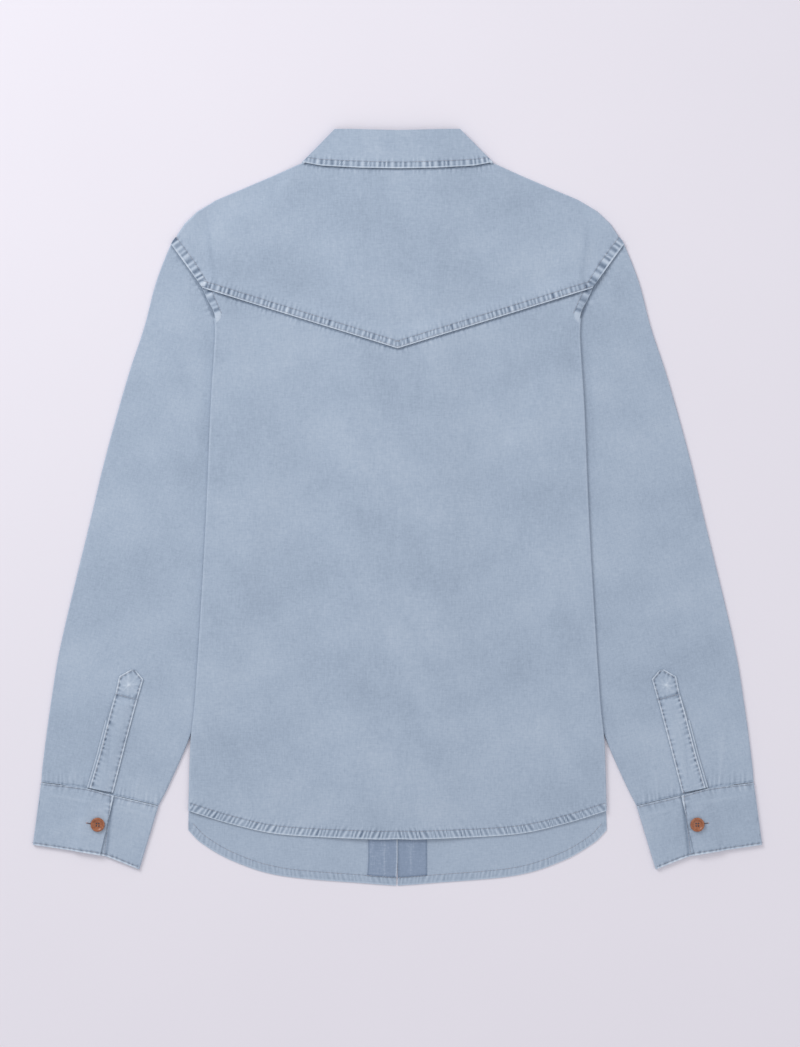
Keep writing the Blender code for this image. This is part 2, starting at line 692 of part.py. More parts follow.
def sleeve_placket(side: int, name: str) -> None:
    """The pointed strip over the sleeve's slit, resting on the binding along its outer half."""
    outer, inner = placket_halves()
    pairs = []
    for index in range(4):
        row = []
        for across in (0.0, 0.55, 0.78, 1.0):
            x = lerp(outer[index].x, inner[index].x, across)
            y = lerp(outer[index].y, inner[index].y, across)
            level = 2 * PLY + PLY * (1.0 - smooth(0.55, 1.0, across))
            row.append(upper(x, y, level))
        pairs.append(row)
    tip = []
    for across in (0.0, 0.55, 0.78, 1.0):
        share = 0.92
        x = lerp(lerp(outer[3].x, inner[3].x, across), PLACKET[4].x, share)
        y = lerp(lerp(outer[3].y, inner[3].y, across), PLACKET[4].y, share)
        tip.append(upper(x, y, 2 * PLY + PLY * (1.0 - smooth(0.55, 1.0, across))))
    pairs.append(tip)
    outer_grid, inner_grid = split(pairs)
    if side < 0:
        outer_grid, inner_grid = mirrored(outer_grid), mirrored(inner_grid)
    wall(name, outer_grid, inner_grid, DENIM_TRIM, turned=side > 0)


def sleeve_binding(side: int, name: str) -> None:
    """The narrow strip under the placket, which shows as a step beside it."""
    outer, inner = placket_halves()
    pairs = []
    for index in range(3):
        width = math.hypot(outer[index].x - inner[index].x, outer[index].y - inner[index].y)
        row = []
        for reach in (-PLACKET_WIDTH_STEP, BINDING_WIDTH - PLACKET_WIDTH_STEP):
            part = reach / width
            x = lerp(outer[index].x, inner[index].x, part)
            y = lerp(outer[index].y, inner[index].y, part)
            row.append(upper(x, y, 2 * PLY))
        pairs.append(row)
    outer_grid, inner_grid = split(pairs)
    if side < 0:
        outer_grid, inner_grid = mirrored(outer_grid), mirrored(inner_grid)
    wall(name, outer_grid, inner_grid, DENIM_TRIM, turned=side > 0)


def collar_band(
    name: str, front: Sequence[CollarColumn], back: Sequence[CollarColumn], parts: Sequence[float],
    front_height: Callable[[int, float], float], back_level_at_side: float, finish,
) -> None:
    """A strip round the neck: its front ends face down, its back faces up, folded at the sides.

    front_height gives the underside of a front end from its side and its x.
    """
    def half(side: int, part: float) -> list[Pair]:
        pairs = []
        for column in front[:-1]:
            x = lerp(column.edge_x, column.roll_x, part) * side
            y = lerp(column.edge_y, column.roll_y, part)
            pairs.append(lower(x, y, front_height(side, x)))
        fold = front[-1]
        edge = Spot(lerp(fold.edge_x, fold.roll_x, part) * side, lerp(fold.edge_y, fold.roll_y, part))
        outward = Spot((fold.roll_y - fold.edge_y) * side, fold.edge_x - fold.roll_x)
        pairs += list(reversed(fold_arc(edge, outward, front_height(side, edge.x), back_level_at_side)))
        for column in back[1:]:
            x = lerp(column.edge_x, column.roll_x, part) * side
            y = lerp(column.edge_y, column.roll_y, part)
            pairs.append(upper(x, y, back_level_at_side + crown(x)))
        return pairs

    pairs = []
    for part in parts:
        right = half(1, part)
        left = half(-1, part)
        pairs.append(left[:-1] + right[::-1])
    wall(name, *split(pairs), finish)


def stand_height(side: int, x: float) -> float:
    """Underside of the stand's front ends, which lap like the fronts below them."""
    if side > 0:
        return max(OVERLAP_RIGHT * (1.0 - smooth(9.0, 42.0, x)), PLY)
    return max(OVERLAP_LEFT * smooth(-48.0, -17.0, x), PLY)


def collar_stand() -> None:
    """The collar's stand, with its front ends lapped right over left."""
    over = CollarColumn(-12.0, 291.3, -12.0, 321.6)
    middle = CollarColumn(0.0, 291.0, 0.0, 321.4)
    front = (over, middle, *STAND_FRONT)
    collar_band("collar_stand", front, STAND_BACK, (0.0, 0.5, 1.0), stand_height, 2 * PLY, DENIM)


def collar_leaf() -> None:
    """The collar's leaf, with its front wings on the surface and its back over the stand."""
    parts = (0.0, 0.5, 1.0)
    collar_band("collar_leaf", LEAF_FRONT, LEAF_BACK, parts, lambda side, x: 0.0, LEAF_LEVEL, DENIM_TRIM)


def button(name: str, x: float, y: float, base: float, face: int) -> None:
    """A turned button with a raised rim. face is 1 if it shows upwards and -1 if downwards."""
    profile = (
        (0.0, 0.0), (BUTTON_RADIUS * 0.72, 0.0), (BUTTON_RADIUS, BUTTON_HEIGHT * 0.45),
        (BUTTON_RADIUS * 0.96, BUTTON_HEIGHT * 0.85), (BUTTON_RADIUS - BUTTON_RIM / 2, BUTTON_HEIGHT),
        (BUTTON_RADIUS - BUTTON_RIM, BUTTON_HEIGHT - BUTTON_DISH), (0.0, BUTTON_HEIGHT - BUTTON_DISH),
    )
    points: list[Point] = []
    rings: list[list[int]] = []
    for radius, height in profile:
        z = base + height if face > 0 else base + BUTTON_HEIGHT - height
        facets = BUTTON_FACETS if radius > 0.0 else 1
        ring = []
        for facet in range(facets):
            angle = math.tau * facet / facets
            ring.append(len(points))
            points.append((x + radius * math.cos(angle), y + radius * math.sin(angle), z))
        rings.append(ring)
    faces: list[list[int]] = []
    for inner, outer in zip(rings, rings[1:]):
        for facet in range(BUTTON_FACETS):
            following = (facet + 1) % BUTTON_FACETS
            corners = [inner[facet % len(inner)], inner[following % len(inner)]]
            corners += [outer[following % len(outer)], outer[facet % len(outer)]]
            corners = list(dict.fromkeys(corners))
            faces.append(corners if face > 0 else corners[::-1])
    add_object(name, points, faces, HORN)


def clear_scene() -> None:
    """Removes what the scene holds."""
    for item in list(bpy.data.objects):
        bpy.data.objects.remove(item, do_unlink=True)


def main() -> None:
    """Builds every piece."""
    clear_scene()
    for side, word in ((1, "right"), (-1, "left")):
        front_panel(side, f"front_{word}")
        facing(side, f"front_facing_{word}")
        sleeve(side, f"sleeve_{word}")
        sleeve_placket(side, f"sleeve_placket_{word}")
        sleeve_binding(side, f"sleeve_binding_{word}")
        cuff(side, f"cuff_{word}")
        button(f"cuff_button_{word}", CUFF_BUTTON[0] * side, CUFF_BUTTON[1], 3 * CUFF_PLY, 1)
    back_panel()
    back_yoke()
    collar_stand()
    collar_leaf()
    for index in range(FRONT_BUTTONS):
        y = lerp(TOP_BUTTON_Y, LOWEST_BUTTON_Y, index / (FRONT_BUTTONS - 1))
        button(f"front_button_{index + 1}", 0.0, y, 0.0, -1)
    button("collar_button", 0.0, COLLAR_BUTTON_Y, 0.0, -1)


main()
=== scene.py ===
"""Looks of the denim shirt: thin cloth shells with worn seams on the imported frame."""

import logging
import math
from dataclasses import dataclass, field
from enum import Enum
from typing import Callable, Sequence

import bpy
import bmesh
import numpy as np
from mathutils import Matrix, Vector


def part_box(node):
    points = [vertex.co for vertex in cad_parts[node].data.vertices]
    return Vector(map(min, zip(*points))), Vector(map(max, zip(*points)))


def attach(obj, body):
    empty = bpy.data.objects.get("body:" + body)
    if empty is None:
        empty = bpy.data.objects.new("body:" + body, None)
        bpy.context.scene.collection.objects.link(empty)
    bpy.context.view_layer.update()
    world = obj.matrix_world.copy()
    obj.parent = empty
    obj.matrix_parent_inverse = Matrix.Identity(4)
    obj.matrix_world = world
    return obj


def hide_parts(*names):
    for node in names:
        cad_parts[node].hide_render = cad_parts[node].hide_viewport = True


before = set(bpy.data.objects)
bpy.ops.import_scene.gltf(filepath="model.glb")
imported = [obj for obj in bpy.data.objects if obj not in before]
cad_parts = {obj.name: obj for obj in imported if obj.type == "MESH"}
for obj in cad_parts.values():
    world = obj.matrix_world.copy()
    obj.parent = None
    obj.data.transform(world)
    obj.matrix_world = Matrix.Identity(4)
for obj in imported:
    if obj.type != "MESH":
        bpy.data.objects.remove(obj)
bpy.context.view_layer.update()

LOG = logging.getLogger("shirt")
Array = np.ndarray
MM = 0.001
WALL = 1.1  # the frame's walls, mm
CLOTH = 0.62  # the shells' thickness, mm
TOP_SINK = 0.25  # the shells' tops lie this far under the walls' tops
GAP = 0.3
PLY = WALL + GAP
CUFF_WALL = 1.5
CUFF_PLY = CUFF_WALL + GAP
BUTTON_HEIGHT = 2.4
OVERLAP_RIGHT = BUTTON_HEIGHT + GAP
OVERLAP_LEFT = OVERLAP_RIGHT + PLY
CENTRE_LEVEL = OVERLAP_LEFT + PLY
BODY_LEVEL = 2 * PLY
LEAF_LEVEL = 3 * PLY + 0.4
YOKE_CLEAR = PLY + 0.2
FACING_CLEAR = PLY + 0.15
HEM_SIDE_Y = -303.0
UNDERARM_Y = 68.0
FOLD_TOP_Y = 190.0
YOKE_POINT_Y = 159.0
YOKE_RISE = 56.5 / 182.0
SEAM_LAP = 7.0
OVERLAP_HALF = 15.0
FACING_WIDTH = 29.0
FACING_FOOT_Y = -369.0
FACING_TOP_Y = -300.0
NECK_X = 79.5
ARC_STEPS = 8

ARMHOLE = (
    (222.0, 270.0), (206.2, 248.5), (192.4, 226.0), (183.0, 200.0), (173.0, 168.0), (160.0, 132.0), (146.0, 98.0),
    (130.0, 68.0)
)
SLEEVE_OUTER = (
    (222.0, 270.0), (226.5, 263.4), (241.5, 224.6), (253.0, 180.6), (270.0, 129.0), (291.5, 52.0),
    (306.8, -12.0), (335.5, -132.0), (346.5, -196.0), (354.0, -252.0), (356.0, -274.0),
)
SLEEVE_INNER = (
    (130.0, 68.0), (145.0, -2.0), (162.0, -76.0), (182.0, -154.0), (205.4, -224.0), (226.5, -273.0), (238.6, -297.3)
)
SIDE_FOLD = (
    (197.5, 222.0), (190.5, 207.0), (184.5, 195.0), (182.6, 180.0), (183.0, 160.0), (186.8, 100.0),
    (191.2, -5.0), (196.5, -100.0), (202.5, -192.0), (207.0, -237.0), (209.0, HEM_SIDE_Y),
)
FRONT_SIDE = (
    (209.0, -322.5), (208.5, -303.0), (205.0, -265.0), (197.0, -224.0), (177.0, -154.0), (157.0, -76.0), (140.0, -2.0),
    (129.2, 67.0)
)
FRONT_HEM = ((0.0, -377.8), (31.0, -375.5), (115.9, -368.0), (163.7, -353.6), (195.0, -336.0), (209.0, -322.5))
BACK_HEM = ((0.0, -331.0), (29.8, -331.0), (115.9, -326.5), (166.9, -316.0), (209.0, HEM_SIDE_Y))
NECK_FRONT = ((0.0, 290.0), (25.0, 292.0), (52.0, 303.5), (67.0, 315.5), (74.5, 325.6))
YOKE_FOLD = ((182.5, 190.0), (182.4, 228.0), (185.5, 250.0), (192.4, 285.0))
# seam x, top x, top y of the yoke's lines from its lower edge to the neck or the shoulder
YOKE_LINES = (
    (0.0, 0.0, 344.0), (30.0, 22.0, 344.2), (60.0, 44.0, 345.2), (86.0, 64.0, 347.4), (105.0, NECK_X, 350.9),
    (121.0, 96.8, 343.8), (137.0, 118.0, 334.4), (154.0, 150.0, 320.6), (168.0, 181.0, 307.5),
    (177.0, 200.0, 296.0), (183.0, 212.5, 284.0), (187.5, 221.0, 271.3), (194.5, 226.4, 263.4),
)
NECK_LINE, ARM_LINE = 4, 11
# edge x, edge y, roll x, roll y of the collar's lines
STAND_FRONT = (
    (12.0, 291.3, 12.0, 321.6), (26.0, 293.6, 23.0, 324.6), (53.0, 305.6, 41.5, 338.0), (72.5, 330.0, 52.5, 355.0),
    (76.4, 352.0, 60.6, 375.6)
)
STAND_BACK = (
    (76.4, 352.0, 60.6, 375.6), (62.0, 348.4, 50.0, 375.4), (31.0, 345.6, 25.0, 374.9), (0.0, 344.9, 0.0, 374.7)
)
LEAF_FRONT = (
    (56.0, 262.0, 6.5, 322.6), (67.0, 279.0, 25.0, 327.0), (79.0, 302.0, 44.0, 341.0), (89.0, 328.0, 56.0, 359.0),
    (95.6, 345.2, 63.0, 378.0)
)
LEAF_BACK = (
    (95.6, 345.2, 63.0, 378.0), (76.0, 341.6, 50.0, 377.9), (38.0, 339.2, 25.0, 377.2), (0.0, 338.6, 0.0, 376.6)
)
PLACKET_OUTER = ((307.6, -279.9), (297.5, -245.0), (287.5, -206.0), (281.4, -184.0), (278.2, -168.3), (263.5, -160.0))
PLACKET_INNER = ((284.3, -284.6), (271.8, -236.0), (262.5, -201.0), (257.6, -184.0), (254.0, -171.3), (263.5, -160.0))
CUFF_TOP = ((356.1, -274.7), (310.0, -280.3), (284.5, -287.2), (238.9, -298.0))
CUFF_FOOT = ((364.4, -336.6), (325.0, -342.5), (291.0, -348.3), (258.0, -361.3))
CUFF_EDGE = 0.62
CUFF_WIDTH = 118.0
CUFF_UNDERLAP = 22.0
CUFF_RAMP = 12.0
RAY_HEIGHT = 0.05  # m, above every piece
THREAD_RISE = 0.05  # a stitch lies this far above its cloth, mm


def smooth(low: float, high: float, value: Array | float) -> Array:
    """Rises softly from 0 at low to 1 at high.

    Args:
        low: where it leaves 0.
        high: where it reaches 1.
        value: where it is read.

    Returns:
        The softened share.
    """
    part = np.clip((np.asarray(value, float) - low) / (high - low), 0.0, 1.0)
    return part * part * (3.0 - 2.0 * part)


def mix(start: Array | float, end: Array | float, part: Array | float) -> Array:
    """The value part of the way from start to end.

    Args:
        start: value at 0.
        end: value at 1.
        part: share of the way.

    Returns:
        The mixed value.
    """
    return start + (end - start) * np.asarray(part, float)


def wobble(along: Array, seed: float) -> Array:
    """An uneven wave of about -1 to 1 along a seam, the same each run.

    Args:
        along: length travelled, mm.
        seed: which wave.

    Returns:
        The wave.
    """
    return (
        np.sin(along * 0.071 + seed) + np.sin(along * 0.173 + seed * 2.3) + np.sin(along * 0.419 + seed * 5.1)
    ) / 2.2


class Route:
    """A smooth curve through named spots, in millimetres."""

    def __init__(self, spots: Sequence[Sequence[float]], steps: int = 10, straight: bool = False) -> None:
        """Samples the curve.

        Args:
            spots: its x and y, in order.
            steps: samples between two spots.
            straight: keep straight lines between the spots.
        """
        knots = np.array(spots, float)
        if straight:
            parts = [mix(a, b, np.linspace(0, 1, steps, endpoint=False)[:, None]) for a, b in zip(knots, knots[1:])]
            self.points = np.vstack([*parts, knots[-1:]])
        else:
            ends = np.vstack([2 * knots[0] - knots[1], knots, 2 * knots[-1] - knots[-2]])
            rows = []
            for i in range(1, len(ends) - 2):
                a, b, c, d = ends[i - 1 : i + 3]
                t = np.linspace(0, 1, steps, endpoint=False)[:, None]
                rows.append(b + 0.5 * t * (c - a + t * (2 * a - 5 * b + 4 * c - d + t * (3 * b - a - 3 * c + d))))
            self.points = np.vstack([*rows, knots[-1:]])
        step = np.hypot(*np.diff(self.points, axis=0).T)
        self.travelled = np.concatenate([[0.0], np.cumsum(step)])
        self.length = float(self.travelled[-1])

    def at(self, part: Array | float) -> Array:
        """Points at these shares of its length, as x and y columns.

        Args:
            part: shares of its length.

        Returns:
            Rows of x and y.
        """
        place = np.asarray(part, float) * self.length
        return np.stack([np.interp(place, self.travelled, self.points[:, axis]) for axis in (0, 1)], axis=-1)

    def x(self, y: Array | float) -> Array:
        """Its x at these y.

        Args:
            y: y of each place, mm.

        Returns:
            Its x, mm.
        """
        order = np.argsort(self.points[:, 1])
        return np.interp(y, self.points[order, 1], self.points[order, 0])

    def y(self, x: Array | float) -> Array:
        """Its y at these x.

        Args:
            x: x of each place, mm.

        Returns:
            Its y, mm.
        """
        order = np.argsort(self.points[:, 0])
        return np.interp(x, self.points[order, 0], self.points[order, 1])

    def measure(self, x: Array, y: Array) -> tuple[Array, Array]:
        """Distance to the curve and place along it.

        Args:
            x: where it is measured.
            y: where it is measured.

        Returns:
            Distance and length travelled to the nearest point.
        """
        shape = np.shape(x)
        spots = np.stack([np.ravel(x), np.ravel(y)], axis=1)
        best = np.full(len(spots), 1e9)
        along = np.zeros(len(spots))
        for i, (a, b) in enumerate(zip(self.points, self.points[1:])):
            line = b - a
            size = max(float(line @ line), 1e-9)
            t = np.clip((spots - a) @ line / size, 0, 1)
            off = np.hypot(*(spots - a - t[:, None] * line).T)
            near = off < best
            best[near] = off[near]
            along[near] = (self.travelled[i] + t * math.sqrt(size))[near]
        return best.reshape(shape), along.reshape(shape)


ARMHOLE_ROUTE = Route(ARMHOLE)
OUTER_ROUTE = Route(SLEEVE_OUTER)
INNER_ROUTE = Route(SLEEVE_INNER)
FOLD_ROUTE = Route(SIDE_FOLD)
FRONT_SIDE_ROUTE = Route(FRONT_SIDE)
FRONT_HEM_ROUTE = Route(FRONT_HEM)
BACK_HEM_ROUTE = Route(BACK_HEM)
NECK_FRONT_ROUTE = Route(NECK_FRONT)
YOKE_FOLD_ROUTE = Route(YOKE_FOLD)


class Side(Enum):
    """The wearer's sides, with the sign of their x."""

    RIGHT = 1
    LEFT = -1

    @property
    def word(self) -> str:
        """The side's name in piece names.

        Returns:
            The word.
        """
        return self.name.lower()


@dataclass(frozen=True)
class Seam:
    """A stitched edge whose band is puckered and worn.

    band is how wide the stitched part is, spacing the distance between two ribs and reach how far
    the puckers run on into the cloth. edge tints the rim along the line: a positive one is a rubbed pale edge,
    a negative one a dark line, which is painted shade where it runs beside an overlapping edge.
    """

    line: Route
    band: float = 8.0
    spacing: float = 4.6
    height: float = 0.34
    reach: float = 15.0
    slant: float = 0.0
    edge: float = 0.85
    seed: float = 0.0

    def effect(self, x: Array, y: Array) -> tuple[Array, Array]:
        """Rise of the cloth and its wear, with painted shade along overlapping edges.

        Args:
            x: where it is read.
            y: where it is read.

        Returns:
            Rise in millimetres and wear with painted shade from -1, dark, to 1, rubbed pale.
        """
        off, along = self.line.measure(x, y)
        phase = math.tau * (along + self.slant * off) / self.spacing + 2.2 * wobble(along, self.seed)
        rib = (0.5 + 0.5 * np.sin(phase)) ** 1.4
        force = 0.72 + 0.34 * wobble(along * 1.7, self.seed + 4.0)
        inside = smooth(0.7, 1.8, off) * (1 - smooth(self.band - 0.6, self.band + 0.7, off))
        streak_force = np.clip(0.55 + 0.8 * wobble(along * 2.9, self.seed + 9.0), 0, 1)
        beyond = smooth(self.band - 0.5, self.band + 0.6, off) * (1 - smooth(self.band + 1.0, self.reach, off))
        rim = 1 - smooth(0.5, 1.5, off)
        groove = np.exp(-(((off - self.band) / 0.7) ** 2)) + 0.6 * np.exp(-(((off - 1.7) / 0.5) ** 2))
        rise = self.height * force * rib * inside + 0.5 * self.height * beyond * rib * streak_force - 0.16 * groove
        # a negative edge darkens the rim; beside an overlapping edge this is painted shade
        wear = (rib - 0.55) * 1.5 * inside * force + self.edge * rim * (0.75 + 0.25 * np.sin(phase))
        wear += 0.5 * (rib - 0.5) * beyond * streak_force - 0.28 * groove
        return rise + 0.12 * rim, wear


@dataclass(frozen=True)
class Crease:
    """A soft ridge (or trough, where its height is negative) from one spot to another; a darkened trough is painted
    shade.
    """

    start: tuple[float, float]
    end: tuple[float, float]
    width: float
    height: float
    tone: float = 0.0

    def effect(self, x: Array, y: Array) -> tuple[Array, Array]:
        """Rise of the cloth and its tone at these places, painted shade where a trough is darkened.

        Args:
            x: x of each place, mm.
            y: y of each place, mm.

        Returns:
            Rise in millimetres, and tone, painted shade in a darkened trough.
        """
        off, along = Route((self.start, self.end), 1, True).measure(x, y)
        size = math.dist(self.start, self.end)
        fade = np.sin(math.pi * np.clip(along / size, 0.02, 0.98)) ** 0.6
        shape = np.exp(-((off / self.width) ** 2)) * fade
        return self.height * shape, self.tone * shape


def unevenness(x: Array, y: Array, size: float) -> Array:
    """The slight waves of cloth that was pressed and laid out.

    Args:
        x: where it is read.
        y: where it is read.
        size: height of the waves.

    Returns:
        Rise in millimetres.
    """
    waves = np.sin(x * 0.031 + 1.7 * np.sin(y * 0.017)) * np.cos(y * 0.023 + 0.8 * np.sin(x * 0.019))
    finer = np.sin(x * 0.083 + y * 0.041 + 2.0 * np.sin(y * 0.035)) * np.sin(y * 0.067 - x * 0.029)
    return size * (0.7 * waves + 0.3 * finer)


# Finishes


@dataclass(frozen=True)
class Denim:
    """Washed denim: slubby threads, faint blotches, and wear with painted shade from each shell's own attribute."""

    name: str
    colour: tuple[float, float, float]
    pale: tuple[float, float, float] = (0.66, 0.74, 0.83)
    dark: tuple[float, float, float] = (0.10, 0.145, 0.22)
    turn: float = 0.0
    contrast: float = 1.0

    def material(self) -> bpy.types.Material:
        """Builds the material.

        Returns:
            A material whose colour and bump come from nodes.
        """
        made = bpy.data.materials.new(self.name)
        made.use_nodes = True
        tree = made.node_tree
        shader = tree.nodes["Principled BSDF"]
        shader.inputs["Roughness"].default_value = 0.93
        shader.inputs["Specular IOR Level"].default_value = 0.18
        shader.inputs["Sheen Weight"].default_value = 0.12
        shader.inputs["Sheen Roughness"].default_value = 0.6
        place = tree.nodes.new("ShaderNodeTexCoord")
        turned = tree.nodes.new("ShaderNodeMapping")
        turned.inputs["Rotation"].default_value = (0.0, 0.0, self.turn)
        tree.links.new(place.outputs["Object"], turned.inputs["Vector"])

        def threads(scale: tuple[float, float, float], detail: float) -> bpy.types.NodeSocket:
            """Noise drawn out along one direction, as threads are.

            Args:
                scale: stretch of the noise on each axis.
                detail: levels of finer noise.

            Returns:
                The noise.
            """
            stretch = tree.nodes.new("ShaderNodeMapping")
            stretch.inputs["Scale"].default_value = scale
            tree.links.new(turned.outputs["Vector"], stretch.inputs["Vector"])
            noise = tree.nodes.new("ShaderNodeTexNoise")
            noise.inputs["Scale"].default_value = 1.0
            noise.inputs["Detail"].default_value = detail
            noise.inputs["Roughness"].default_value = 0.62
            tree.links.new(stretch.outputs["Vector"], noise.inputs["Vector"])
            return noise.outputs["Fac"]

        def ramp(
            source: bpy.types.NodeSocket, low: float, high: float, least: float, most: float
        ) -> bpy.types.NodeSocket:
            """Maps a value from one range to another.

            Args:
                source: what is remapped.
                low: lowest value read.
                high: highest value read.
                least: result at the lowest.
                most: result at the highest.

            Returns:
                The mapped value.
            """
            node = tree.nodes.new("ShaderNodeMapRange")
            for label, value in zip(("From Min", "From Max", "To Min", "To Max"), (low, high, least, most)):
                node.inputs[label].default_value = value
            tree.links.new(source, node.inputs["Value"])
            return node.outputs["Result"]

        def sums(first: bpy.types.NodeSocket, second: bpy.types.NodeSocket, kind: str = "ADD") -> bpy.types.NodeSocket:
            """Joins two values.

            Args:
                first: first value.
                second: second value.
                kind: which sum.

            Returns:
                The result.
            """
            node = tree.nodes.new("ShaderNodeMath")
            node.operation = kind
            tree.links.new(first, node.inputs[0])
            tree.links.new(second, node.inputs[1])
            return node.outputs["Value"]

        size = 0.1 * self.contrast
        warp = ramp(threads((900.0, 120.0, 60.0), 3.0), 0.25, 0.75, -size, size)
        weft = ramp(threads((130.0, 1000.0, 60.0), 3.0), 0.25, 0.75, -size, size)
        speck = ramp(threads((420.0, 420.0, 60.0), 2.0), 0.3, 0.7, -0.7 * size, 0.7 * size)
        cloud = ramp(threads((38.0, 24.0, 10.0), 4.0), 0.3, 0.7, -0.45 * size, 0.45 * size)
        grain = sums(sums(warp, weft), sums(speck, cloud))
        worn_and_shaded = tree.nodes.new("ShaderNodeAttribute")
        # this attribute holds wear together with painted shade lines and darkened creases
        worn_and_shaded.attribute_name = "wear"
        tone = sums(ramp(worn_and_shaded.outputs["Fac"], -1.0, 1.0, -1.0, 1.0), grain)
        levels = tree.nodes.new("ShaderNodeValToRGB")
        levels.color_ramp.elements[0].position = 0.0
        levels.color_ramp.elements[0].color = (*self.dark, 1.0)
        levels.color_ramp.elements[1].position = 1.0
        levels.color_ramp.elements[1].color = (*self.pale, 1.0)
        middle = levels.color_ramp.elements.new(0.5)
        middle.color = (*self.colour, 1.0)
        tree.links.new(ramp(tone, -1.0, 1.0, 0.0, 1.0), levels.inputs["Fac"])
        tree.links.new(levels.outputs["Color"], shader.inputs["Base Color"])
        bump = tree.nodes.new("ShaderNodeBump")
        bump.inputs["Strength"].default_value = 0.35
        bump.inputs["Distance"].default_value = 0.0004
        tree.links.new(grain, bump.inputs["Height"])
        tree.links.new(bump.outputs["Normal"], shader.inputs["Normal"])
        return made


@dataclass(frozen=True)
class Plain:
    """A smooth finish with faint mottling, for thread, horn and the floor."""

    name: str
    colour: tuple[float, float, float]
    second: tuple[float, float, float]
    roughness: float = 0.5
    scale: float = 300.0

    def material(self) -> bpy.types.Material:
        """Builds the material.

        Returns:
            The material.
        """
        made = bpy.data.materials.new(self.name)
        made.use_nodes = True
        tree = made.node_tree
        shader = tree.nodes["Principled BSDF"]
        shader.inputs["Roughness"].default_value = self.roughness
        place = tree.nodes.new("ShaderNodeTexCoord")
        noise = tree.nodes.new("ShaderNodeTexNoise")
        noise.inputs["Scale"].default_value = self.scale
        noise.inputs["Detail"].default_value = 3.0
        levels = tree.nodes.new("ShaderNodeValToRGB")
        levels.color_ramp.elements[0].position = 0.35
        levels.color_ramp.elements[0].color = (*self.colour, 1.0)
        levels.color_ramp.elements[1].position = 0.65
        levels.color_ramp.elements[1].color = (*self.second, 1.0)
        tree.links.new(place.outputs["Object"], noise.inputs["Vector"])
        tree.links.new(noise.outputs["Fac"], levels.inputs["Fac"])
        tree.links.new(levels.outputs["Color"], shader.inputs["Base Color"])
        return made


SLEEVE_TURN = 0.24


@dataclass
class Finishes:
    """Every material of the shirt."""

    denim: bpy.types.Material = field(default_factory=lambda: Denim("denim", (0.372, 0.455, 0.565)).material())
    sleeve_right: bpy.types.Material = field(
        default_factory=lambda: Denim("denim_sleeve_right", (0.372, 0.455, 0.565), turn=-SLEEVE_TURN).material()
    )
    sleeve_left: bpy.types.Material = field(
        default_factory=lambda: Denim("denim_sleeve_left", (0.372, 0.455, 0.565), turn=SLEEVE_TURN).material()
    )
    inside: bpy.types.Material = field(
        default_factory=lambda: Denim("denim_inside", (0.262, 0.335, 0.455), contrast=1.2).material()
    )
    thread: bpy.types.Material = field(
        default_factory=lambda: Plain("thread", (0.30, 0.34, 0.42), (0.42, 0.42, 0.46), 0.8).material()
    )
    rust: bpy.types.Material = field(
        default_factory=lambda: Plain("rust_thread", (0.52, 0.30, 0.26), (0.62, 0.42, 0.38), 0.8).material()
    )
    horn: bpy.types.Material = field(
        default_factory=lambda: Plain("horn", (0.27, 0.085, 0.035), (0.40, 0.15, 0.07), 0.3, 500.0).material()
    )
    dark: bpy.types.Material = field(
        default_factory=lambda: Plain("dark_thread", (0.04, 0.025, 0.03), (0.07, 0.04, 0.04), 0.8).material()
    )


# Shells


